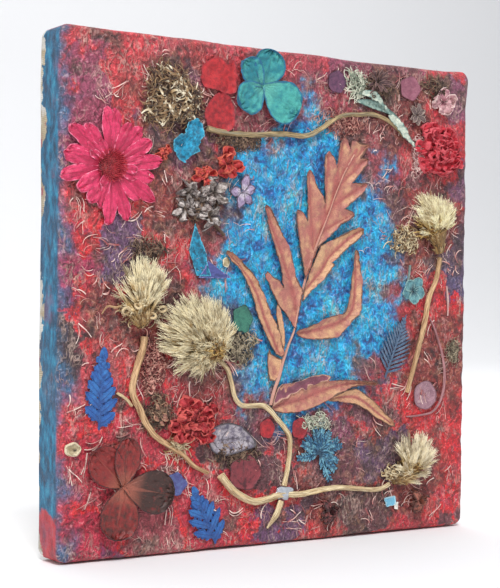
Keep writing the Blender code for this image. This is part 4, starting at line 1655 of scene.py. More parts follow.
@dataclass
class Flowers:
    """Every flower that keeps its round shape."""

    def build(self) -> None:
        """Build the large flowers, then the small ones."""
        # The pink petals' pale rim colour is a painted highlight along their edges
        pink = DriedPetal("pressed_pink_petals", "daisy_petals", "#DC3A68", "#BE2450", "#EE86A2", "#960E38",
                          "#AC1A42", 0.18, 0.3, 0.5, 2.2, 0.42)
        crimson = DriedPetal("crimson_disc_florets", "daisy_petals", "#DC4450", "#B01C38", "#F0806A", "#6A0C20",
                             "#9A1634", blot=1.0)
        ray = Petal(15.2, 5.8, 0.55, 0.68, 1.8, -0.4, 0.6, 3, 0.9, (-7, 0, 7))
        short = Petal(7.6, 3.4, 0.55, 0.6, 1.8, 0.2, 0.4, 3, 0.8, (-7, 0, 7))
        Flower("pink_daisy", (-79.2, 48.6), [
            Whorl(19, ray, 5.2, 3, 0.6, 6, 0.8), Whorl(8, short, 4.4, 6, 1.0, 40, 1.6),
        ], pink, (5.9, 2.4, 250), crimson, 5).build()
        teal = DriedPetal("pressed_teal_sepals", "teal_sepals", "#1E7C88", "#46A49C", "#13608A", "#17626E", "#62B4A4",
                          1.1, 0.16, 0.3, 3.2)
        Hydrangea("teal_hydrangea", (-11.4, 84.2), [], teal, (1.5, 1.6, 14), seed=6,
                  sepals=((2.2, 7.4, 7.6, 7.2), (-5.6, 4.9, 6.4, 5.4), (-6.6, -4.8, 7.2, 6.4),
                          (7.6, -5, 9.6, 8.6))).build()
        maroon = DriedPetal("pressed_maroon_sepals", "maroon_sepals", "#862422", "#3C241F", "#2A1014", "#A8604E",
                            "#A05A48", 0.45, 0.16, 0.36, 2.4, 0.45, 0.22)
        Hydrangea("maroon_hydrangea", (-73.4, -72.6), [], maroon, (1.4, 1.4, 12), seed=7,
                  sepals=((-8, 8.2, 8.6, 7), (0.6, 10.6, 8.4, 5.4), (-2.8, -11, 9, 8), (11.4, -2.2, 9.4, 8))).build()
        red = DriedPetal("pressed_carnation_petals", "carnation_petals", "#C92A3A", "#A81E30", "#E0606A", "#8A1424",
                         "#7C1222", 0.4, 0.2, 0.35, 2.0)
        Flower("red_carnation", (82.4, 65), [
            Whorl(17, Petal(9.0, 5.4, 0.3, 0.8, 5.0, 0.3, 0.3, 3, 2.2), 3.4, 6, 0.8, 4, 1.2),
            Whorl(17, Petal(8.2, 4.8, 0.3, 0.8, 5.0, 0.4, 0.3, 3, 2.4), 2.0, 16, 1.0, 17, 1.4),
            Whorl(15, Petal(5.8, 4.0, 0.3, 0.8, 5.0, 0.4, 0.3, 2, 2.2), 0.8, 30, 1.2, 40, 1.4),
            Whorl(9, Petal(4.0, 3.4, 0.3, 0.8, 4.0, 0.4, 0.3, 2, 1.8), 0.4, 46, 1.4, 10, 1.4),
        ], red, seed=8).build()
        worn = DriedPetal("crumpled_red_petals", "carnation_petals", "#B52A34", "#8E2028", "#D86058", "#6E1420",
                          "#651420", 0.5, 0.2, 0.4, 1.6)
        Flower("red_crumpled_flower", (-41.4, -49), [
            Whorl(14, Petal(7.6, 5.0, 0.35, 0.75, 4.0, 0.5, 0.3, 3, 2.4), 3.0, 6, 0.7, 0, 1.5),
            Whorl(13, Petal(6.0, 4.2, 0.35, 0.75, 4.0, 0.5, 0.3, 2, 2.4), 1.6, 14, 0.9, 20, 1.5),
            Whorl(9, Petal(4.2, 3.6, 0.35, 0.75, 3.0, 0.5, 0.3, 2, 2.2), 0.6, 24, 1.0, 50, 1.5),
        ], worn, seed=9).build()
        dusk = DriedPetal("dry_dark_spiky_petals", "spiky_petals", "#4B2E33", "#6B4A4A", "#8A6A60", "#2C1A20",
                          "#2A181C", 0.3, 0.15, 0.5, 1.4)
        spike = Petal(5.6, 1.7, 0.7, 0.3, 1.1, 0.3, 0.3, 1, 0.5, (0,))
        Flower("spiky_flower", (47.5, 91.6),
               [Whorl(17, spike, 1.2, 8, 0.6, 5, 1.0), Whorl(11, spike, 0.8, 30, 1.0, 0, 1.2)], dusk, (1.5, 1.4, 20),
               seed=10).build()
        scarlet = DriedPetal("pressed_scarlet_florets", "red_floret", "#C63A36", "#A62A30", "#DE6A50", "#7C1A22",
                             "#7A1A20", 0.35, 0.15, 0.4, 1.6)
        for i, (name, x, z, reach, count) in enumerate((
            ("red_floret_left", -56.4, 54.4, 3.3, 5), ("red_floret_middle", -27.6, 52.4, 6.8, 5),
            ("red_floret_low", -38.4, 47.6, 4.4, 6),
        )):
            shape = Petal(reach * 0.9, reach * 0.72, 0.4, 0.75, 4.0, 0.4, 0.2, 2, 1.9)
            small = Petal(reach * 0.55, reach * 0.5, 0.4, 0.75, 4.0, 0.4, 0.2, 1, 1.8)
            whorls = [Whorl(count + 2, shape, reach * 0.12, 8, 0.6, i * 20, 1.6),
                      Whorl(count, small, 0.3, 24, 1.0, 0, 1.5)]
            Flower(name, (x, z), whorls, scarlet, (reach * 0.12, 0.9, 6), seed=20 + i).build()
        mauve = DriedPetal("pressed_mauve_star", "star_petals", "#B4A2BE", "#8E7A9C", "#2E2034", "#5E4A60", "#E6DEE8",
                           0.7, 0.2, 0.5, 1.8)
        ash = DriedPetal("pressed_grey_white_petals", "grey_white_petals", "#D6CCC6", "#66524E", "#32262A", "#8E8478",
                         "#4E3C38", 0.34, 0.16, 0.5, 1.2)
        rose = DriedPetal("pressed_pale_pink_petals", "pale_pink_petals", "#D4A8A8", "#B07884", "#E6CEC8", "#98606C",
                          "#8A4E58", 0.4, 0.16, 0.4, 1.5)
        earth = DriedPetal("dry_grey_brown_petals", "grey_brown_petals", "#85706A", "#665250", "#A79488", "#463638",
                           "#3E3032", 0.4, 0.18, 0.6, 1.5)
        sea = DriedPetal("pressed_teal_star_petals", "teal_star_petals", "#6B9CA0", "#4C7C86", "#8FB4AE", "#2E5560",
                         "#35505A", 0.4, 0.18, 0.5, 1.6)
        tan = DriedPetal("dry_tan_petals", "tan_petals", "#A87A62", "#7E4A42", "#C79C7C", "#5A342C", "#5C342C", 0.4,
                         0.18, 0.5, 1.5)
        Cluster("white_floret", (-40.4, 37),
                [Whorl(5, Petal(5.2, 3.3, 0.4, 0.6, 1.6, 0.1, 0.2, 1, 3.0), 0.4, 6, 0.8, 10, 1.6)], ash,
                (0.7, 1.0, 7), seed=29, spots=((-33.8, 40.6, 1.25), (-45.4, 40.4, 0.85), (-47.2, 33.8, 0.9),
                                               (-35.6, 31.4, 1.0))).build()
        small = (
            ("star_floret", -20, 41.7, 7.0, 5, 1.0, 0.6, 0.5, mauve),
            ("pink_floret", 84.4, 86, 6.4, 5, 3.4, 0.9, 2.2, rose),
            ("brown_floret", 69.6, 79.4, 5, 9, 1.4, 0.88, 0.5, earth),
            ("teal_star_flower", 68.6, 3.8, 6.4, 5, 1.3, 0.88, 0.5, sea),
            ("dry_tan_flower", -57.2, -45, 4.6, 7, 1.6, 0.88, 1.2, tan),
        )
        for i, (name, x, z, reach, count, tip, wide, ruffle, finish) in enumerate(small):
            shape = Petal(reach * 0.88, reach * 5.2 / count * wide, 0.4, 0.5, tip, 0.35, 0.3, 1, ruffle)
            Flower(name, (x, z), [Whorl(count, shape, reach * 0.12, 6, 0.6, 18 + 11 * i, 0.5)], finish,
                   (reach * 0.17, 1.1, 12), seed=30 + i).build()


def inside(points: np.ndarray, rim: np.ndarray) -> np.ndarray:
    """Tell which points lie within a closed outline.

    Args:
        points: the points.
        rim: the outline's corners.

    Returns:
        True for each point within.
    """
    x, z = points[:, 0, None], points[:, 1, None]
    a, b = rim, np.roll(rim, -1, axis=0)
    cross = (a[:, 1] > z) != (b[:, 1] > z)
    with np.errstate(divide="ignore", invalid="ignore"):
        at = (b[:, 0] - a[:, 0]) * (z - a[:, 1]) / (b[:, 1] - a[:, 1]) + a[:, 0]
    return (cross & (x < at)).sum(axis=1) % 2 == 1


def distance(points: np.ndarray, line: np.ndarray, closed: bool = False) -> np.ndarray:
    """Distance of points from a line of straight pieces.

    Args:
        points: the points.
        line: the line's corners.
        closed: whether its last corner joins its first.

    Returns:
        The distance of each point.
    """
    a, b = (line, np.roll(line, -1, axis=0)) if closed else (line[:-1], line[1:])
    run = b - a
    share = (((points[:, None] - a) * run).sum(axis=2) / ((run**2).sum(axis=1) + 1e-9)).clip(0, 1)
    return np.linalg.norm(points[:, None] - a - share[..., None] * run, axis=2).min(axis=1)


@dataclass
class Blade:
    """A thin dried sheet with an outline of its own: a leaf's lobe, a frond or a torn petal.

    Its outline is filled with fine triangles, since no primitive has such an outline.

    Args:
        outline: corners of its outline in mm.
        veins: lines in mm; the first is its midrib.
        height: height of its midrib.
        curl: how far its rim stands above its midrib, in mm.
        wave: how far it waves up and down.
        jag: how far its rim is frayed, in mm.
        spacing: size of its triangles.
        slope: rise per mm along x and along z, about its middle.
        corners: whether the outline keeps its corners.
        hearted: how many of its veins it folds along, with its finish's heart colour there.
    """

    outline: Sequence[Point]
    veins: Sequence[Sequence[Point]] = ()
    height: float = 0.7
    curl: float = 0.5
    wave: float = 0.4
    jag: float = 0.15
    spacing: float = 0.8
    slope: Point = (0.0, 0.0)
    corners: bool = False
    hearted: int = 0

    def mesh(self, name: str, seed: int, thickness: float = 0.24) -> bpy.types.Object:
        """Fill the outline and lift its points.

        Args:
            name: the object's name.
            seed: seed of its waves, fraying and tone.
            thickness: its thickness in mm.

        Returns:
            The blade.
        """
        rim = np.array(self.outline, dtype=float)
        if self.corners:
            after = np.roll(rim, -1, axis=0)
            steps = [max(1, math.ceil(np.linalg.norm(b - a) / self.spacing)) for a, b in zip(rim, after)]
            rim = np.vstack([a + (b - a) * np.arange(n)[:, None] / n for a, b, n in zip(rim, after, steps)])
        else:
            rim = resample(rim, self.spacing, closed=True)
        fray = np.array([noise.noise(Vector((x * 0.9, z * 0.9, seed))) for x, z in rim])
        outward = np.roll(rim, -1, axis=0) - np.roll(rim, 1, axis=0)
        outward = np.stack((outward[:, 1], -outward[:, 0]), axis=1)
        outward /= np.linalg.norm(outward, axis=1, keepdims=True) + 1e-9
        rim = rim + outward * (fray * self.jag)[:, None]
        low, high = rim.min(axis=0), rim.max(axis=0)
        grid = np.stack(np.meshgrid(*(np.arange(a, b, self.spacing) for a, b in zip(low, high))),
                        axis=-1).reshape(-1, 2)
        grid = grid + np.random.default_rng(seed).uniform(-0.25, 0.25, grid.shape) * self.spacing
        grid = grid[inside(grid, rim)]
        grid = grid[distance(grid, rim, True) > self.spacing * 0.45]
        flat = [Vector(p) for p in np.vstack((rim, grid)).tolist()]
        points, _, faces, *_ = geometry.delaunay_2d_cdt(flat, [], [list(range(len(rim)))], 1, 1e-4)
        flat = np.array([p[:] for p in points])
        edge = distance(flat, rim, True)
        lines = [resample(v, 0.8) for v in self.veins]
        vein = np.min([distance(flat, line) for line in lines], axis=0) if lines else np.full(len(flat), 9.0)
        middle = distance(flat, lines[0]) if lines else np.linalg.norm(flat - flat.mean(axis=0), axis=1)
        if self.hearted:
            middle = np.min([distance(flat, line) for line in lines[: self.hearted]], axis=0)
        share = middle / (middle + edge + 1e-6)
        swell = np.array([noise.noise(Vector((x / 5, z / 5, seed * 3.7)))
                          + 0.5 * noise.noise(Vector((x / 2, z / 2, seed))) for x, z in flat])
        lift = (self.height + self.curl * share**2 + self.wave * swell
                + (flat - flat.mean(axis=0)) @ np.array(self.slope))
        lift += 0.12 * np.exp(-((vein / 0.25) ** 2))
        points3 = np.column_stack((flat, lift.clip(0.35)))
        values = {"rim": edge, "vein": vein, "along": share if self.hearted else np.ones(len(flat)),
                  "tone": np.full(len(flat), (seed * 0.37) % 1)}
        piece = as_object(name, points3, [f[::-1] if self.flipped(flat, f) else f for f in faces], values)
        apply_modifier(piece, "SOLIDIFY", thickness=thickness * MM, offset=-1.0)
        smooth(piece, 60)
        return piece

    @staticmethod
    def flipped(flat: np.ndarray, face: Sequence[int]) -> bool:
        """Tell whether a triangle is wound clockwise as seen from the front."""
        a, b, c = flat[list(face[:3])]
        return (b[0] - a[0]) * (c[1] - a[1]) < (c[0] - a[0]) * (b[1] - a[1])


def side_veins(midrib: Sequence[Point], reach: float, step: float, slant: float = 48) -> list[Sequence[Point]]:
    """A midrib with straight veins that leave it on both sides.

    Args:
        midrib: its points from base to tip.
        reach: length of the longest side vein in mm.
        step: distance between side veins.
        slant: angle between them and the midrib in degrees.

    Returns:
        The lines, the midrib first.
    """
    line = resample(midrib, step)
    veins: list[Sequence[Point]] = [midrib]
    for i, spot in enumerate(line[1:-1], 1):
        run = line[i + 1] - line[i - 1]
        way = math.atan2(run[1], run[0])
        size = reach * math.sin(math.pi * (0.15 + 0.8 * i / len(line)))
        for side in (-1, 1):
            a = way + side * math.radians(slant)
            veins.append([tuple(spot), tuple(spot + size * np.array((math.cos(a), math.sin(a))))])
    return veins


# The russet leaf's dark rim colour is painted shade along its edges
LEAF = DriedPetal("pressed_russet_leaf", "leaf_blade", "#D0A27A", "#AA6A60", "#4C2A24", "#8E5048", "#A85C56", 0.36,
                  0.24, 0.45, 5.0, 0.5, 0.12)
FOLD = DriedPetal("folded_purple_leaf", "leaf_blade", "#8E5060", "#6E3848", "#C49A84", "#B8808A", "#8E5060", 0.3,
                  0.16, 0.5, 4.0, 0.5)
RIB = DriedStalk("pale_pink_leaf_rib", "leaf_rib", "#D9A896", "#A8705F", "#C08E82")


@dataclass
class CutLeaf:
    """The big cut leaf: long curling lobes on one pale rib."""

    def build(self) -> None:
        """Build the rib and the seven lobes."""
        Stem("leaf_stem", [
            (-6, -43.5), (-4.7, -38.8), (-3.1, -34.7), (-1.8, -31.6), (-0.4, -26.7), (2.3, -19.8), (5.5, -12.9),
            (7.3, -5.3), (9.1, 1.7), (10.9, 7.9), (13.2, 14.1), (16, 21.1), (19.3, 28.2), (22.6, 35.3), (26.4, 44),
            (31.1, 53.3), (35.5, 60.2),
        ], (0.62, 0.55, 0.46, 0.4, 0.3, 0.24), RIB, clear=1.0, ribs=(2, 0.25)).build()
        for i, (name, outline, veins, height) in enumerate(self.lobes()):
            midribs = len(veins) if name == "leaf_tip_blade" else 1
            blade = Blade(outline, veins, height, 1.3, 0.75, 0.25, 0.5, corners=True, hearted=midribs)
            settle(blade.mesh(name, 40 + i, 0.3), name, [LEAF], [name])

    def lobes(self) -> tuple[tuple, ...]:
        """Name, outline, veins and height of every lobe.

        Returns:
            One row for each lobe.
        """
        return (
            ("leaf_tip_blade", [
                (10.3, 7.7), (8.9, 14.7), (7.6, 20.8), (6.6, 26.9), (5.7, 32.3), (6.1, 35.8), (8.6, 34.7),
                (11.2, 31.6), (11.6, 37.9), (10.9, 45.5), (10.6, 50.1), (11.9, 52.5), (14.1, 49.6), (16.1, 45.4),
                (20.3, 39.2), (19.9, 46), (19.5, 53.7), (20.1, 58.7), (21.8, 60.4), (24.2, 58.3), (26, 54.1),
                (26.8, 59.6), (27.3, 64), (29.8, 67.2), (31.6, 65.3), (32.8, 62.1), (33.7, 65.6), (35.9, 65.9),
                (39.1, 64.7), (43.4, 64.7), (41.5, 62.8), (38.4, 58.8), (42.6, 58.8), (41.3, 55.9), (37.9, 52.4),
                (34, 47.9), (37.2, 48.2), (41.9, 48.3), (41, 45.7), (38.4, 43.2), (34.3, 40.2), (30, 37.2),
                (34.2, 36.1), (35.4, 34.8), (31.9, 32.4), (28.3, 30.9), (23.7, 26.3), (19.1, 22.9), (17.2, 21),
                (15.1, 18.8), (12.3, 11.7)],
             [[(10.4, 7.9), (13.2, 14.1), (16, 21.1), (19.3, 28.2), (22.6, 35.3), (26.4, 44), (31.1, 53.3),
               (37, 62.3)],
              *([foot, tip] for foot, tip in (
                  ((9.6, 5), (6.3, 34.5)), ((15, 18), (12, 51)), ((20.5, 30), (21.8, 59)), ((25, 40), (29.6, 66)),
                  ((33, 56), (43, 64.4)), ((29, 48), (42, 58.6)), ((24, 38), (41.5, 48.1)), ((19, 27.5), (34.8, 35)),
              ))], 1.05),
            ("leaf_right_blade", [
                (16.9, 19.6), (17.9, 21.6), (23.7, 23.8), (29.8, 26.5), (34, 28.4), (37.9, 29.6), (40.3, 29.1),
                (39.9, 27.2), (37.5, 25.1), (33.1, 22.1), (28.7, 18.4), (24, 14.8), (25.4, 13.9), (23.5, 11.7),
                (20, 8), (15.8, 4.7), (12.1, 1.6), (8.7, -1.6), (9.8, 2.3), (12.3, 9.4)],
             side_veins([(10, 2.5), (18.1, 10.3), (23.8, 17.5), (31.6, 23.9), (39.9, 28.8)], 5, 4.4, 34), 1.0),
            ("leaf_curved_blade", [
                (5.6, -14.3), (7.4, -13.3), (11.7, -12.2), (16.4, -10.6), (21.2, -8.3), (26.1, -7.1), (30.8, -6.3),
                (32.2, -4.3), (33.4, -0.4), (34.2, 4.4), (34.8, 10.7), (35.6, 16.2), (36, 19.8), (37, 20.4),
                (37.9, 18.6), (38.8, 13.9), (39.6, 7.6), (39.8, 1.3), (39.4, -4.3), (38, -6.8), (34.2, -10),
                (30.5, -13.7), (27.4, -16.2), (22.3, -16.8), (16.5, -17), (11.7, -16.7), (8.4, -16)],
             side_veins([(6, -14.5), (13.6, -13.6), (21.3, -11.8), (28.1, -10), (33.2, -7.4), (36.1, -2.7),
                         (36.8, 3.6), (37.2, 18.6)], 5, 4.4, 34), 1.1),
            ("leaf_left_blade", [
                (5.6, -13.1), (3.3, -9.3), (0.3, -6.1), (-3.1, -2.7), (-5.6, 1.5), (-7.7, 5.8), (-9.4, 9.1),
                (-8.3, 10.5), (-5.9, 8.3), (-2.5, 6.8), (-0.4, 4.1), (-1.2, 9.2), (-2.4, 14.5), (-4.5, 19.7),
                (-6.6, 25.7), (-8.4, 30.9), (-9.8, 35.4), (-9.1, 37.2), (-6.7, 34.8), (-3.4, 29.6), (-0.7, 25),
                (2, 21.3), (3.2, 17.7), (4.5, 13.7), (5.5, 9.3), (6.7, 6.6), (9.4, 3.2), (8.3, -0.6), (7, -6.8)],
             side_veins([(6.9, -8.3), (5.8, -0.7), (3.4, 7), (-0.5, 16), (-4.8, 26.5), (-9, 36.8)], 5, 4.4, 34), 0.8),
            ("leaf_long_blade", [
                (-27.8, 18.3), (-24.6, 16.7), (-20.1, 13.4), (-16.3, 10.3), (-13.5, 6.6), (-10.4, 2.2), (-8.5, -2.3),
                (-6.6, -6.3), (-3.8, -10.7), (-1.7, -15.2), (-0.3, -19.8), (-0.1, -22.9), (-1, -23.9), (-3.4, -22.8),
                (-6.1, -19.8), (-8.5, -15.4), (-11, -10.7), (-13, -7.3), (-14.5, -1.6), (-16.4, 2.8), (-19.2, 8),
                (-22.8, 12.3), (-26, 14.6), (-27.8, 16.8)],
             side_veins([(-1, -23.6), (-4.7, -16.7), (-8.5, -9.2), (-11.8, -1.2), (-15.5, 5.9), (-21, 12.1),
                         (-27.3, 17.5)], 5, 4.4, 34), 0.9),
            ("leaf_low_blade", [
                (-5.6, -44.6), (-4.2, -40.4), (-2.5, -36.6), (-0.3, -35.1), (4.4, -34.9), (9.1, -33.9), (12.9, -32.6),
                (16.7, -32), (20.8, -31.6), (23.7, -32.5), (22.8, -34.5), (28.5, -34.1), (34.4, -34.3), (40.4, -34.7),
                (45.5, -35), (48.7, -35.8), (47.5, -36.6), (42.5, -36.3), (37.6, -36.6), (33.4, -37.6), (28.5, -39.4),
                (22.7, -42), (16.9, -44.5), (11.2, -46), (5.5, -46.8), (-0.2, -46.8), (-4.1, -45.9)],
             side_veins([(-5, -44.8), (2.6, -42.7), (11.1, -41.1), (18.7, -38.5), (28.5, -36.2), (38.4, -35.5),
                         (47.5, -36)], 5, 4.4, 34), 1.4),
            ("leaf_lowest_blade", [
                (21.5, -42.4), (26.6, -40.5), (32.5, -38.6), (37.6, -37.8), (41.7, -40), (46.8, -43.3), (52, -47.5),
                (57.5, -52.3), (58.4, -54.5), (55.2, -53.7), (48.8, -50.4), (42.6, -46.5), (36.5, -44),
                (28.6, -42.8)],
             side_veins([(21.9, -42.3), (30.5, -41.3), (38.5, -41.8), (46.7, -46.2), (57.7, -53.8)], 5, 4.4, 34),
             0.7),
        )


@dataclass
class Frond:
    """A small pressed fern.

    Args:
        name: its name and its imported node's.
        tip: its tip.
        base: foot of its stalk.
        half_width: length of its middle leaflets in mm.
        pairs: pairs of leaflets.
        leaflet: width of a leaflet as a share of the space that it has.
        finish: its finish.
    """

    name: str
    tip: Point
    base: Point
    half_width: float
    pairs: int
    leaflet: float
    finish: Finish
    teeth: int = 3

    def build(self) -> None:
        """Set toothed leaflets in pairs along a thin stalk."""
        base, tip = np.array(self.base), np.array(self.tip)
        run = tip - base
        length = np.linalg.norm(run)
        turn = math.degrees(math.atan2(run[1], run[0]))
        petals = Petals(4, 6)
        room = length * 0.9 / self.pairs
        for i in range(self.pairs):
            share = (i + 0.5) / self.pairs
            reach = (self.half_width * 1.3 * (0.5 + 0.75 * math.sin(math.pi * min(1, share + 0.12)))
                     * (1.12 - 0.62 * share))
            for side in (-1, 1):
                spot = base + run * (0.1 + (0.84 * i + 0.2 * side) / self.pairs)
                way = turn + side * (56 - 24 * share)
                a = math.radians(way)
                shape = Petal(reach, room * self.leaflet, 0.75, 0.45, 2.0, 0.15, 0.15, 1, 0.3, (0, 30, -30))
                petals.add(shape, (*spot, 0.55 + 0.1 * (i % 2)), way, 2, (i * 0.37 + side) % 1)
                for k in range(self.teeth):
                    foot = spot + reach * (0.12 + 0.74 * k / self.teeth) * np.array((math.cos(a), math.sin(a)))
                    for lean in (-52, 52):
                        tooth = Petal(room * self.leaflet * (0.98 - 0.4 * k / self.teeth), room * 0.34, 0.8, 0.6, 2.4,
                                      0, 0, 0, 0.2, (0,))
                        petals.add(tooth, (*foot, 0.6), way + lean, 2, 0.3)
        petals.add(Petal(length * 0.16, room * self.leaflet * 1.2, 0.6, 0.3, 1.2, 0.1, 0.1),
                   (*(base + run * 0.86), 0.6), turn, 1, 0.5)
        petals.add(Petal(length, 0.9, 1.0, 0.8, 1.2, 0.0, 0.0, 0, 0.0, (0,)), (*base, 0.75), turn, 0, 0.4)
        piece = joined([(petals.join(self.name), self.finish)])
        settle(piece, self.name, [self.finish], [self.name])


def oval(x: float, z: float, wide: float, tall: float, bump: float = 0.06, bumps: int = 5) -> list[Point]:
    """A slightly uneven oval outline.

    Args:
        x: its middle in mm.
        z: its middle's second coordinate.
        wide: half its width.
        tall: half its height.
        bump: depth of its bumps as a share.
        bumps: how many it has.

    Returns:
        The outline's 18 corners.
    """
    return [
        (x + wide * math.cos(a) * (1 + bump * math.cos(bumps * a)),
         z + tall * math.sin(a) * (1 + bump * math.sin(bumps * a + 1)))
        for a in (math.tau * i / 18 for i in range(18))
    ]


@dataclass
class LoosePieces:
    """Single petals and leaves, fronds, the lacy leaf and the twig."""

    def build(self) -> None:
        """Build every loose piece."""
        for i, (name, finish, blade) in enumerate(self.blades()):
            settle(blade.mesh(name, 60 + i), name, [finish], [name])
        cobalt = DriedPetal("pressed_cobalt_fern", "cobalt_frond", "#2458A0", "#3070B2", "#1E4484", "#1E3F7C",
                            "#2A5290", 0.15, 0.2, 0.6, 2.0)
        slate = DriedPetal("pressed_slate_fern", "slate_frond", "#54708F", "#6F8298", "#3C5470", "#344A66", "#4A5F78",
                           0.2, 0.15, 0.6, 1.6)
        Frond("left_frond", (-81.6, -20), (-83.6, -50.6), 6.0, 6, 0.68, cobalt).build()
        Frond("low_frond", (-41.8, -74.8), (-31.2, -97.6), 6.8, 5, 0.62, cobalt).build()
        Frond("grey_frond", (65, -7), (53.8, -33.6), 7.0, 13, 0.5, slate, 0).build()
        self.lace()
        twig = DriedStalk("pink_brown_twig", "pink_twig", "#C08A8C", "#7E5458", "#A8757A")
        Stem("arched_twig", [
            (78.8, -8.6), (81.9, -14), (86, -24.5), (87.2, -32.9), (86.2, -41.3), (81.4, -48.4), (73.5, -50.2),
            (66, -50.6),
        ], (0.45, 0.5, 0.55, 0.5, 0.35), twig, sides=8).build()

    def lace(self) -> None:
        """The finely cut leaf: feathered pinnae that fan out from one foot."""
        finish = DriedPetal("pressed_teal_lace_leaf", "lacy_leaf", "#2C6E98", "#78B2C2", "#1C4866", "#24485E",
                            "#3A5468", 0.18, 0.15, 0.5, 1.8)
        petals = Petals(4, 6)
        chance = random.Random(17)
        for i in range(11):
            turn = -65 + 25 * i + chance.uniform(-7, 7)
            a = math.radians(turn)
            reach = 12.8 * chance.uniform(0.75, 1.05)
            foot = np.array((20.6 - 2.5 * math.cos(math.radians(60)), -62.4 - 2.0))
            petals.add(Petal(reach, 0.8, 0.9, 0.5, 1.5, 0, 0, 0, 0.2), (*foot, 0.6), turn, 2, chance.random())
            for k in range(1, 9):
                spot = foot + reach * k / 8.6 * np.array((math.cos(a), math.sin(a)))
                for side in (-1, 1):
                    petals.add(Petal(3.9 - 0.26 * k, 1.15, 0.6, 0.5, 1.3, 0.1, 0.1, 0, 0.3),
                               (*spot, 0.6 + 0.3 * (i % 2)), turn + side * chance.uniform(34, 56),
                               chance.uniform(0, 12), chance.random())
        piece = joined([(petals.join("lacy_leaf"), finish)])
        settle(piece, "lacy_leaf", [finish], ["lacy_leaf"])

    def blades(self) -> tuple[tuple[str, Finish, Blade], ...]:
        """Name, finish and shape of every single petal and leaf.

        Returns:
            One row for each piece.
        """
        red = DriedPetal("pressed_red_petal", "red_petal", "#BC282E", "#841622", "#9A2430", "#7A1620", "#8A1A24", 0.5,
                         0.2, 0.5, 2.0)
        blue = DriedPetal("crumpled_blue_petal", "blue_petal", "#1C9CC4", "#0E5068", "#58B4CC", "#0E4A66", "#0E4A66",
                          0.3, 0.3, 0.6, 1.7)
        violet = DriedPetal("pressed_violet_petal", "violet_petal", "#4C5292", "#34406E", "#8488BC", "#2A3462",
                            "#2A3462", 0.3, 0.25, 0.5, 1.8)
        lilac = DriedPetal("pressed_lilac_leaf", "lilac_leaf", "#B2AAB0", "#5C5468", "#2A2026", "#3A2E38", "#382A38",
                           0.9, 0.34, 0.75, 2.6)
        dark = DriedPetal("pressed_wine_petal", "dark_petal", "#6A2530", "#84343C", "#3E1620", "#34121A", "#34121A",
                          0.6, 0.3, 0.7, 2.6)
        sage = DriedPetal("pressed_sage_leaf", "sage_leaf", "#7C9890", "#A8B8A8", "#4E6A66", "#4A5E58", "#4A5E58",
                          0.4, 0.3, 0.6, 2.0)
        disc = DriedPetal("thin_mauve_disc_petal", "pale_disc_petal", "#A8808A", "#8A6470", "#6A4650", "#C8A8A8",
                          "#6A4650", 0.5, 0.22, 0.5, 2.4)

        def fan(foot: Point, reach: float, turns: Sequence[float]) -> list[list[Point]]:
            """Straight veins that spread from one foot.

            Args:
                foot: where they start.
                reach: their length in mm.
                turns: their directions in degrees.
            """
            return [[foot, (foot[0] + reach * math.cos(math.radians(t)),
                            foot[1] + reach * math.sin(math.radians(t)))] for t in turns]

        return (
            ("red_petal_pair", red, Blade([
                (-24.1, 81.6), (-27.9, 79.8), (-33.5, 81), (-38.1, 81.6), (-40.7, 86), (-38.1, 91.4), (-32.1, 93.6),
                (-28.3, 91.2), (-24.9, 92.6)], fan((-30, 80), 13, (60, 75, 90, 105, 122, 138)), 0.9, 1.0, 1.4, 0.5)),
            ("red_petal_single", red, Blade([
                (-38.6, 68.6), (-38.4, 72.6), (-35, 77.6), (-31.6, 80), (-27.2, 78.6), (-24.6, 73), (-25.2, 67.4),
                (-29, 64.8), (-35, 65.4)],
                fan((-31, 66), 13, (55, 70, 85, 100, 118)), 0.9, 1.0, 1.4, 0.4)),
            ("red_petal_low", red,
             Blade(oval(9, -53.4, 3.9, 4.2), fan((9, -57), 8, (60, 80, 100, 120)), 0.6, 0.6, 0.4)),
            ("blue_crumpled_petal", blue, Blade([
                (-54.1, 57.5), (-51.6, 61.4), (-48.8, 62.2), (-46.9, 66.4), (-43.1, 68.9), (-40.2, 66.9),
                (-39.4, 63.2), (-41.6, 60.6), (-41.2, 56.4), (-44.8, 54.6), (-46.4, 51.8), (-50.2, 52.6),
                (-52.0, 54.0)],
                fan((-41, 66), 19, (190, 205, 218, 230, 245)), 1.8, 1.0, 2.8, 0.6, 0.6, corners=True)),
            ("blue_pointed_petal", blue, Blade([
                (-42.0, 28.4), (-44.8, 18), (-41.2, 8.0), (-34.6, 8.0), (-36.6, 13), (-36.8, 16.6), (-39.8, 22.6)],
                fan((-38, 12), 14, (95, 105, 115, 130)), 0.7, 0.5, 0.5, 0.2, 0.6, corners=True)),
            ("violet_pointed_petal", violet, Blade([
                (-40.4, 7.2), (-25.2, 7.4), (-30.6, 10.6), (-36.0, 14), (-38, 10)],
                fan((-28, 8), 11, (180, 172, 164)), 0.7, 0.5, 0.4, 0.2, 0.6, corners=True)),
            ("lilac_leaf", lilac, Blade([
                (-35.4, -56.6), (-33, -52), (-27.6, -50), (-20.6, -51.2), (-14.6, -55.8), (-12.9, -59.6),
                (-19, -61.4), (-27.6, -62.8), (-33.4, -61)],
                side_veins([(-35, -57.2), (-22, -56.4), (-13.4, -59)], 6.5, 2.4), 0.7, 0.9, 0.9)),
            ("dark_round_petal", dark,
             Blade(oval(-17.8, -70.2, 7.6, 7), fan((-17.8, -77), 13, (50, 65, 80, 95, 110, 128)), 0.7, 0.9, 0.7)),
            ("sage_leaf", sage, Blade([
                (37, 82.4), (42, 83.8), (49, 82.6), (56, 79.6), (61.4, 75.2), (61.8, 73), (54.6, 78.2), (46, 80)],
                side_veins([(38, 82.3), (47, 81.6), (55, 78.8), (61.4, 73.8)], 3, 2.2), 0.7, 0.5, 0.4)),
            ("pale_disc_petal", disc,
             Blade(oval(76, -41.6, 6.4, 6.2, 0.03), fan((72, -45), 12, (15, 30, 45, 60, 78)), 0.6, 0.7, 0.4)),
        )


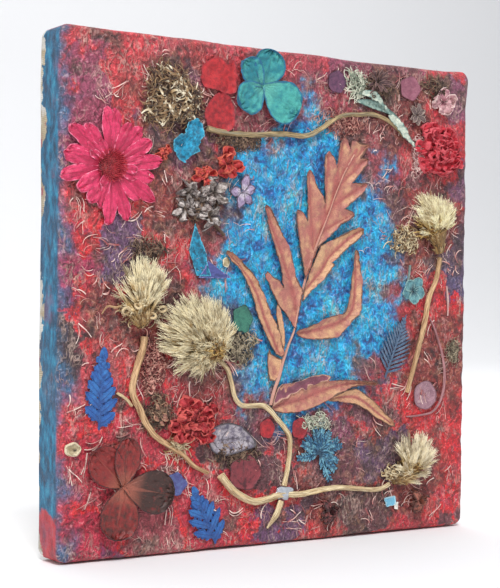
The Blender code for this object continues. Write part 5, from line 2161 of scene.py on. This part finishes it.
@dataclass
class Tangle:
    """A flat tangle of curled strands.

    Args:
        name: its name.
        hub: its middle on the face.
        reach: half width and half height in mm.
        height: how far it stands out.
        count: how many strands it has.
        finish: its finish.
        thick: least and greatest radius of a strand in mm.
        step: least and greatest length of a quarter of a strand.
        curl: how sharply strands turn.
        heading: direction that most strands take in degrees, or None for outwards.
        mat: share of fine strands that lie below the others.
    """

    name: str
    hub: Point
    reach: tuple[float, float]
    height: float
    count: int
    finish: Finish
    thick: tuple[float, float] = (0.12, 0.3)
    step: tuple[float, float] = (0.9, 2.6)
    curl: float = 0.9
    heading: float | None = None
    mat: float = 0.4
    seed: int = 1
    replaced: bool = False

    def build(self) -> None:
        """Wind strands over a low dome."""
        chance = np.random.default_rng(self.seed)
        hub, reach = np.array(self.hub), np.array(self.reach)
        rows, thick = [], []
        for _ in range(self.count):
            fine = chance.random() < self.mat
            angle, share = chance.uniform(0, math.tau), math.sqrt(chance.random())
            uneven = 1 + 0.18 * math.sin(3 * angle + self.seed) + 0.1 * math.sin(7 * angle)
            place = hub + reach * share * uneven * (math.cos(angle), math.sin(angle))
            turn = ((angle if self.heading is None else math.radians(self.heading))
                    + chance.normal() * (1.3 if self.heading is None else 0.45))
            way = chance.choice((-1, 1))
            points = []
            for _ in range(5):
                away = (place - hub) / (reach * 1.12)
                dome = self.height * math.sqrt(max(0.04, 1 - away @ away))
                points.append((*place, 0.4
                               + dome * (chance.uniform(0.05, 0.6) if fine else chance.uniform(0.4, 1.0))))
                turn += way * self.curl * chance.uniform(0.2, 1.5)
                place = place + chance.uniform(*self.step) * np.array((math.cos(turn), math.sin(turn)))
            rows.append(points)
            thick.append(self.thick[0] if fine else chance.uniform(*self.thick))
        piece = strands(self.name, np.array(rows), np.array(thick), self.seed, rings=7, tip=0.5)
        settle(piece, self.name, [self.finish], [self.name] if self.replaced else [])


@dataclass(frozen=True)
class ClearGlue(Finish):
    """Dried craft glue: milky, bluish grey and glossy."""

    def dress(self, nodes: Nodes) -> None:
        """Milky gloss with cloudy patches.

        Args:
            nodes: the material.
        """
        add = nodes.add
        mm = nodes.millimetres()
        cloud = add("TexNoise", {"Vector": mm, "Scale": 0.7, "Detail": 4.0})
        nodes.feed(nodes.shader, {
            "Base Color": add("Mix", {0: cloud, 6: "#7C8490", 7: "#C8CCD2"}),
            "Roughness": 0.22,
            "Coat Weight": 0.4,
            "Normal": add("Bump", {"Height": cloud, "Strength": 0.5, "Distance": 0.0006}),
        })


@dataclass
class Tangles:
    """Loose curls, tufts and matted threads round the specimens."""

    def build(self) -> None:
        """Build every tangle."""
        def threads(name: str, root: str, body: str, tip: str, dark: str) -> Finish:
            """Down in a root, body, tip and dark colour, packed with the canvas."""
            return DriedDown(name, "painted_canvas", root, body, tip, dark)

        curls = threads("dry_cream_curls", "#6E4A26", "#C0A070", "#EBDDB8", "#5E4024")
        gold = threads("golden_receptacle_chaff", "#6A4214", "#B08438", "#E2C27C", "#5A3C18")
        moss = threads("grey_green_moss", "#40382C", "#8A7E66", "#C2B296", "#342A20")
        umber = threads("umber_threads", "#2C1C18", "#5A4034", "#9A7E66", "#241612")
        russet = threads("russet_curls", "#4E1C1C", "#94423C", "#D6A090", "#5A1E22")
        chalk = threads("chalky_green_tuft", "#6E7C6A", "#B4BAA0", "#E8E6D2", "#5C6658")
        blush = threads("pink_white_threads", "#8E4A50", "#CFA09A", "#F0DCD2", "#7A3A40")
        for i, (name, hub, reach, height, count, finish, thick, curl, heading) in enumerate((
            ("left_seed_curls", (-66.6, -6.4), (9.4, 3.6), 6.5, 210, curls, (0.22, 0.5), 1.5, None),
            ("round_seed_chaff", (-37.4, -20.0), (6.4, 5.8), 14.5, 230, gold, (0.18, 0.4), 1.2, None),
            ("right_seed_chaff", (78.2, 29.4), (6.2, 4.4), 8.4, 260, gold, (0.2, 0.42), 0.3, 100),
            ("low_seed_chaff", (67.0, -72.0), (3.6, 3.6), 9.5, 130, gold, (0.18, 0.34), 0.9, None),
            ("low_seed_curls", (58.2, -74.6), (4.6, 3.4), 5.0, 90, curls, (0.3, 0.62), 1.5, None),
            ("grey_moss_tangle", (-20.6, -19.6), (8.0, 6.2), 2.6, 330, moss, (0.16, 0.36), 1.6, None),
            ("dark_curls", (-62.6, 17.6), (7.4, 3.0), 2.4, 130, umber, (0.2, 0.42), 1.0, None),
            ("russet_curls", (-60.4, -27.4), (5.6, 10.0), 2.0, 380, russet, (0.2, 0.42), 1.5, None),
            ("brown_stem_threads", (-58.4, -44.6), (6.6, 8.0), 1.8, 300, umber, (0.16, 0.4), 1.4, None),
            ("pale_scrap_tangle", (63.4, 25.6), (7.0, 5.6), 2.4, 260, curls, (0.18, 0.42), 1.5, None),
            ("hairy_tuft", (80.7, 92.2), (5.2, 3.2), 2.4, 150, umber, (0.12, 0.26), 0.5, None),
            ("spiky_flower_threads", (47.0, 88.6), (9.0, 5.0), 2.0, 220, umber, (0.14, 0.34), 1.2, None),
            ("cream_tuft", (36.4, 89.6), (4.6, 4.2), 2.4, 150, chalk, (0.14, 0.36), 0.5, None),
            ("floret_stalks", (-41.6, 35.6), (9.0, 6.4), 1.5, 240, umber, (0.16, 0.4), 1.2, None),
            ("frayed_fibres", (-51.0, -57.6), (5.0, 2.8), 2.6, 70, curls, (0.16, 0.34), 0.3, -14),
            ("lace_foot_threads", (17.6, -51.6), (6.4, 3.0), 1.6, 130, chalk, (0.12, 0.3), 1.0, None),
            ("moss_patch", (92.6, -22.4), (3.4, 5.4), 1.4, 150, moss, (0.12, 0.3), 1.5, None),
            ("top_stem_threads", (-22.0, 61.6), (12.0, 3.2), 1.6, 260, umber, (0.16, 0.4), 1.4, None),
            ("middle_stem_threads", (30.0, 73.0), (12.0, 5.0), 1.6, 260, russet, (0.16, 0.36), 1.4, None),
            ("carnation_threads", (71.4, 62.0), (4.4, 9.0), 1.6, 240, blush, (0.14, 0.4), 1.4, None),
            ("lilac_leaf_threads", (-22.0, -63.0), (11.0, 3.6), 1.6, 260, umber, (0.14, 0.36), 1.4, None),
        )):
            Tangle(name, hub, reach, height, count, finish, thick, (0.6, 1.9), curl, heading, seed=70 + i).build()


@dataclass
class Cluster(Flower):
    """Several small flowers that grew together.

    Args:
        spots: middle and size of each further flower.
    """

    spots: Sequence[tuple[float, float, float]] = ()

    def extra(self, petals: Petals) -> None:
        """Repeat the first whorl, smaller or larger, at each spot.

        Args:
            petals: the flower's petals.
        """
        whorl = self.whorls[0]
        chance = random.Random(self.seed)
        for x, z, size in self.spots:
            shape = Petal(**{**whorl.petal.__dict__, "length": whorl.petal.length * size,
                             "width": whorl.petal.width * size})
            start = chance.uniform(0, 70)
            for i in range(whorl.count):
                turn = start + 360 * i / whorl.count + chance.uniform(-12, 12)
                a = math.radians(turn)
                petals.add(shape, (x + 0.5 * math.cos(a), z + 0.5 * math.sin(a), 0.8 + 0.25 * (i % 2)), turn,
                           chance.uniform(4, 22), chance.random())


@dataclass
class Scraps:
    """Small torn petals, chips and seeds, a blob of glue and two strips of the big leaf."""

    def build(self) -> None:
        """Build each scrap."""
        for i, (name, finish, blade, thick) in enumerate(self.pieces()):
            settle(blade.mesh(name, 100 + i, thick), name, [finish])
        teal = DriedStalk("teal_grey_stalk", "teal_star_petals", "#8FA6A0", "#4A5E60", "#6E8480")
        umber = DriedStalk("umber_stalk", "grey_brown_petals", "#7C6250", "#3A2822", "#5E4A3E")
        pale = DriedStalk("pink_white_sliver", "pale_pink_petals", "#E0C2BC", "#A87E7A", "#C8A49E")
        for name, route, radii, finish in (
            ("star_flower_stalk", [(67, 14.7), (66.4, 10), (65.2, 3.5)], (0.5, 0.4), teal),
            ("floret_stalk", [(-38, 33), (-33.5, 28.6), (-28.6, 24.2)], (0.8, 0.6), umber),
            ("left_side_twig", [(-76, -37), (-72, -39.4), (-69.6, -42)], (0.5, 0.6), STRAW),
            ("pale_sliver", [(88, 6), (88.8, 0), (89, -7)], (0.4, 0.5, 0.3), pale),
            ("curled_bract", [(-73.6, -3.4, 1), (-77.4, -4.6, 1.6), (-80.8, -4.2, 1.2), (-82.6, -7.2, 0)],
             (0.5, 0.4, 0.2), AMBER),
        ):
            Stem(name, route, radii, finish, sides=8, replaced=False).build()
        for i, (x, z, lift, size) in enumerate(((-74.4, -5.8, 2.4, 1.5), (-58.8, -5.1, 2.6, 1.4),
                                                (-64.6, -7.6, 4.8, 1.3), (-70.7, -4.0, 4.8, 1.2))):
            ring = [(x + size * math.cos(a), z + size * math.sin(a) * 0.8, lift + 1.4 + 0.7 * math.sin(a + i))
                    for a in np.linspace(i, i + 6.1, 14)]
            Stem(f"curled_bract_{i}", ring, (0.44, 0.52, 0.36), STRAW, sides=8, replaced=False).build()
        wine = DriedPetal("dark_wine_scrap", "dark_petal", "#54282C", "#8A4844", "#2A1A18", "#241418", "#3A1E20", 0.3,
                          0.15, 0.5, 1.4)
        umber = DriedPetal("umber_petal_scrap", "grey_brown_petals", "#A8604C", "#74443C", "#4A302A", "#4E342E",
                           "#6E4238", 0.3, 0.15, 0.5, 1.4)
        for name, hub, finish in (("dark_scrap", (24.3, -89.4), wine), ("umber_petal", (72.6, -88.0), umber)):
            curl = Petal(4.6, 3.6, 0.6, 0.6, 2.4, 0.4, 0.4, 2, 2.6)
            Flower(name, hub, [Whorl(6, curl, 0.6, 8, 0.6, 20, 1.4), Whorl(4, curl, 0.2, 26, 0.8, 50, 1.4)], finish,
                   (0.8, 0.9, 6), seed=61, replaced=False).build()
        self.blob()

    def blob(self) -> None:
        """The flattened drop of glue where two stalks meet."""
        deselect()
        bpy.ops.mesh.primitive_uv_sphere_add(segments=28, ring_count=16, radius=1.0)
        piece = bpy.context.object
        bpy.ops.object.mode_set(mode="EDIT")
        bpy.ops.mesh.select_all(action="SELECT")
        bpy.ops.transform.resize(value=(4.6 * MM, 0.9 * MM, 2.7 * MM))
        bpy.ops.object.mode_set(mode="OBJECT")
        for vertex in piece.data.vertices:
            x, _, z = vertex.co / MM
            vertex.co *= 1 + 0.35 * noise.noise(Vector((x / 2.4, 1.0, z / 2.4)))
            vertex.co += FACE.at(0.6, -79.4, 1.9)
        smooth(piece, 80)
        settle(piece, "glue_blob", [ClearGlue("milky_craft_glue", "painted_canvas")])

    def pieces(self) -> tuple[tuple[str, Finish, Blade, float], ...]:
        """Name, finish, shape and thickness of every flat scrap.

        Returns:
            One row for each scrap.
        """
        def petal(name: str, slot: str, body: str, mottle: str, rim: str, dark: str) -> Finish:
            """A petal's finish with a thin rim, soft blots and one dark colour for veins and heart."""
            return DriedPetal(name, slot, body, mottle, rim, dark, dark, 0.35, 0.15, blot=1.8)

        chip = petal("pale_blue_chip", "blue_petal", "#6FB2CE", "#4A94BC", "#A8D0DC", "#3A7A9C")
        white = petal("white_paper_bit", "grey_white_petals", "#DCD8D0", "#B8B4AC", "#EEEAE2", "#8C8880")
        plum = petal("dark_plum_petal", "dark_petal", "#4E2E4A", "#6A3E5A", "#341E34", "#2C182C")
        mauve = petal("soft_mauve_petal", "pale_pink_petals", "#8A4E60", "#A46A78", "#74404E", "#6E3E58")
        husk = petal("tan_seed_husk", "tan_petals", "#BEB090", "#988664", "#DCD0B0", "#2E251A")
        green = petal("clear_green_petal", "teal_star_petals", "#1F5A50", "#3A7A66", "#163F3A", "#123832")
        violet = petal("soft_violet_petal", "violet_petal", "#4C4E88", "#5E6EA4", "#383A6C", "#30325E")
        sage = petal("chalky_sage_scrap", "sage_leaf", "#9DB0A4", "#D0D4C2", "#5E7C76", "#5A726A")
        return (
            ("blue_chip", chip, Blade([(54, -85.2), (60, -84.6), (60.4, -88.2), (55.6, -89)], (), 1.0, 0.3, 0.3, 0.3,
                                      0.6, corners=True), 0.5),
            ("white_bit", white, Blade([(59.8, -87.4), (61.6, -87.2), (61.4, -90.4), (59.6, -90)], (), 1.1, 0.2, 0.2,
                                       0.2, 0.5, corners=True), 0.4),
            ("plum_petal", plum, Blade(oval(26.2, 89.6, 4.4, 4.6, 0.06), (), 0.7, 0.6, 0.5), 0.24),
            ("mauve_petal", mauve, Blade(oval(65.4, 90.4, 5.4, 5.0, 0.08), (), 0.7, 0.8, 0.7), 0.24),
            ("tan_husk", husk, Blade(oval(-94.6, -57.4, 3.0, 2.1, 0.06), [[(-93.8, -57.9), (-93.2, -57.8)]], 1.0, 0.8,
                                     0.3, 0.1, 0.4, hearted=1), 0.9),
            ("green_petal", green, Blade(oval(-19.8, -8.8, 4.6, 5.4, 0.08), (), 0.8, 0.8, 0.7), 0.24),
            ("violet_petal_low", violet, Blade(oval(-50.6, -73, 5.4, 4.4, 0.1), (), 0.6, 0.7, 0.5), 0.22),
            ("red_petal_middle", DriedPetal("pressed_red_petal", "red_petal"),
             Blade(oval(-7.2, -53, 3.6, 3.8), (), 0.6, 0.6, 0.5), 0.24),
            ("tan_seed", husk, Blade(oval(-27.6, 13.6, 1.6, 2.0, 0.05), (), 1.5, -0.4, 0.2, 0.1, 0.4), 1.0),
            ("sage_scrap", sage, Blade([(37, 86.6), (44, 87.4), (48, 85), (52, 80.6), (47.6, 82.6), (42, 84.6)], (),
                                       1.2, 0.9, 1.2, 0.8, 0.6), 0.24),
            ("sage_crumb", sage, Blade([(53, 78), (58, 77.6), (64, 71), (68, 65.6), (62, 69), (56, 74.6)], (), 1.4,
                                       0.8, 1.2, 0.8, 0.6), 0.24),
            ("leaf_narrow_strip", LEAF,
             Blade([(-3.2, -1.9), (-1.6, -4.9), (-0.2, -9.9), (0.6, -14.5), (0.7, -18.3), (-0.1, -21.5),
                    (-1.5, -16.9), (-2.9, -11.4), (-3.8, -6.9)],
                   [[(-2.2, -5), (0, -20)]], 1.5, 0.5, 0.4, 0.2, 0.6, corners=True), 0.26),
            ("leaf_low_strip", LEAF,
             Blade([(-7.2, -20.5), (-5.8, -23), (-2.8, -24.5), (-0.4, -24.9), (-0.7, -28.2), (-2, -32), (-3.9, -33.7),
                    (-6.3, -33.6), (-7.3, -30.4), (-7.5, -25.1)],
                   [[(-4, -23.5), (-4.6, -33)]], 1.0, 0.7, 0.4, 0.2, 0.6, corners=True), 0.26),
            ("leaf_low_fold", FOLD, Blade([
                (-5.4, -44), (-4.5, -40.3), (-2.9, -36.6), (-0.7, -35.1), (4, -34.9), (8.7, -33.9), (12.5, -32.6),
                (16.4, -31.9), (20.4, -31.6), (23.3, -32.5), (21.8, -34.2), (18.3, -34.5), (15.4, -35.6),
                (12.4, -35.8), (11.1, -38), (9, -37), (6.1, -38.9), (3.5, -39.2), (1.8, -40.8), (-1, -41.2),
                (-3.5, -42.6)],
                [[(-4, -43), (9, -36.5), (22, -32.6)]], 2.1, 0.5, 0.4, 0.2, 0.6, corners=True), 0.26),
        )


# The stage


@dataclass
class Studio:
    """A plain pale sweep, soft lamps and the camera at the photograph's viewing angle.

    Args:
        eye: the camera's place from the middle of the face, in mm.
        azimuth: how far the view is turned from straight on, in degrees.
        elevation: how far it looks down, in degrees.
        roll: how far it is turned about its own axis, in degrees.
        focal_px: focal length in pixels of the 500 by 588 picture.
        rise_px: how far the picture's middle lies from the optical axis, in pixels.
    """

    eye: tuple[float, float, float] = (-340.6, -484.6, -4.0)
    azimuth: float = 33.88
    elevation: float = 1.49
    roll: float = 0.56
    focal_px: float = 1457.3
    rise_px: float = 51.0

    def build(self) -> None:
        """Set up camera, lamps and sweep."""
        self.camera()
        self.sweep()
        self.lamps()

    def camera(self) -> None:
        """Aim the camera."""
        data = bpy.data.cameras.new("camera")
        camera = bpy.data.objects.new("camera", data)
        bpy.context.scene.collection.objects.link(camera)
        turn, tip, lean = (math.radians(a) for a in (self.azimuth, self.elevation, self.roll))
        forward = Vector((math.sin(turn) * math.cos(tip), math.cos(turn) * math.cos(tip), -math.sin(tip)))
        right = forward.cross(Vector((0, 0, 1))).normalized()
        up = right.cross(forward)
        right, up = right * math.cos(lean) + up * math.sin(lean), up * math.cos(lean) - right * math.sin(lean)
        camera.matrix_world = (
            (right.x, right.y, right.z, 0),
            (up.x, up.y, up.z, 0),
            (-forward.x, -forward.y, -forward.z, 0),
            (*(FACE.middle + Vector(self.eye) * MM), 1),
        )
        data.sensor_width = 36.0
        data.lens = self.focal_px / 588 * 36.0
        data.shift_y = self.rise_px / 588
        data.clip_start = 0.01
        bpy.context.scene.camera = camera

    def sweep(self) -> None:
        """A floor that curves up into a backdrop well behind the canvas."""
        deselect()
        bpy.ops.mesh.primitive_plane_add(size=6.0, location=(0, 0, FACE.low.z - 0.0006))
        floor = bpy.context.object
        floor.location.y = -0.4
        bpy.ops.object.mode_set(mode="EDIT")
        bpy.ops.mesh.select_all(action="DESELECT")
        bpy.ops.object.mode_set(mode="OBJECT")
        for edge in floor.data.edges:
            edge.select = all(floor.data.vertices[i].co.y > 2 for i in edge.vertices)
        bpy.ops.object.mode_set(mode="EDIT")
        bpy.ops.mesh.extrude_region_move(TRANSFORM_OT_translate={"value": (0, 0, 3.0)})
        bpy.ops.object.mode_set(mode="OBJECT")
        apply_modifier(floor, "BEVEL", width=1.2, segments=24, limit_method="ANGLE")
        smooth(floor, 60)
        floor.name = "pale_sweep"
        nodes = Nodes("matt_pale_paper")
        nodes.feed(nodes.shader, {"Base Color": "#F3F3F4", "Roughness": 0.9})
        floor.data.materials.append(nodes.material)

    def lamps(self) -> None:
        """A broad key lamp high on the left, a fill on the right and an even sky."""
        for name, place, aim, size, power in (
            ("key_lamp", (-0.55, -1.0, 1.5), (0, 0, 0), 0.45, 27.0),
            ("fill_lamp", (-1.4, -0.6, 0.2), (0, 0, 0), 1.0, 5.0),
            ("back_lamp", (0.4, 0.9, 1.6), (0, 0, 0), 1.6, 10.0),
            ("wall_lamp", (0.9, 1.0, 1.9), (1.5, 2.6, 0.7), 1.6, 17.0),
        ):
            data = bpy.data.lights.new(name, "AREA")
            data.size = size
            data.energy = power
            lamp = bpy.data.objects.new(name, data)
            bpy.context.scene.collection.objects.link(lamp)
            lamp.location = FACE.middle + Vector(place)
            lamp.rotation_euler = (Vector(aim) - Vector(place)).to_track_quat("-Z", "Y").to_euler()
        world = bpy.data.worlds.new("pale_sky")
        world.use_nodes = True
        world.node_tree.nodes["Background"].inputs["Color"].default_value = linear("#F4F6FA")
        world.node_tree.nodes["Background"].inputs["Strength"].default_value = 0.52
        bpy.context.scene.world = world
        bpy.context.scene.view_settings.view_transform = "Standard"


def main() -> None:
    """Build every sub-assembly in order."""
    logging.basicConfig(level=logging.INFO, format="%(message)s")
    parts = (Studio(), StretchedCanvas(), StretcherBars(), Staples(), CutLeaf(), SeedHeads(), Flowers(),
             LoosePieces(), Scraps(), Tangles(), FibreLitter())
    for part in parts:
        part.build()
        LOG.info("%s done", type(part).__name__)


if __name__ == "__main__":
    main()
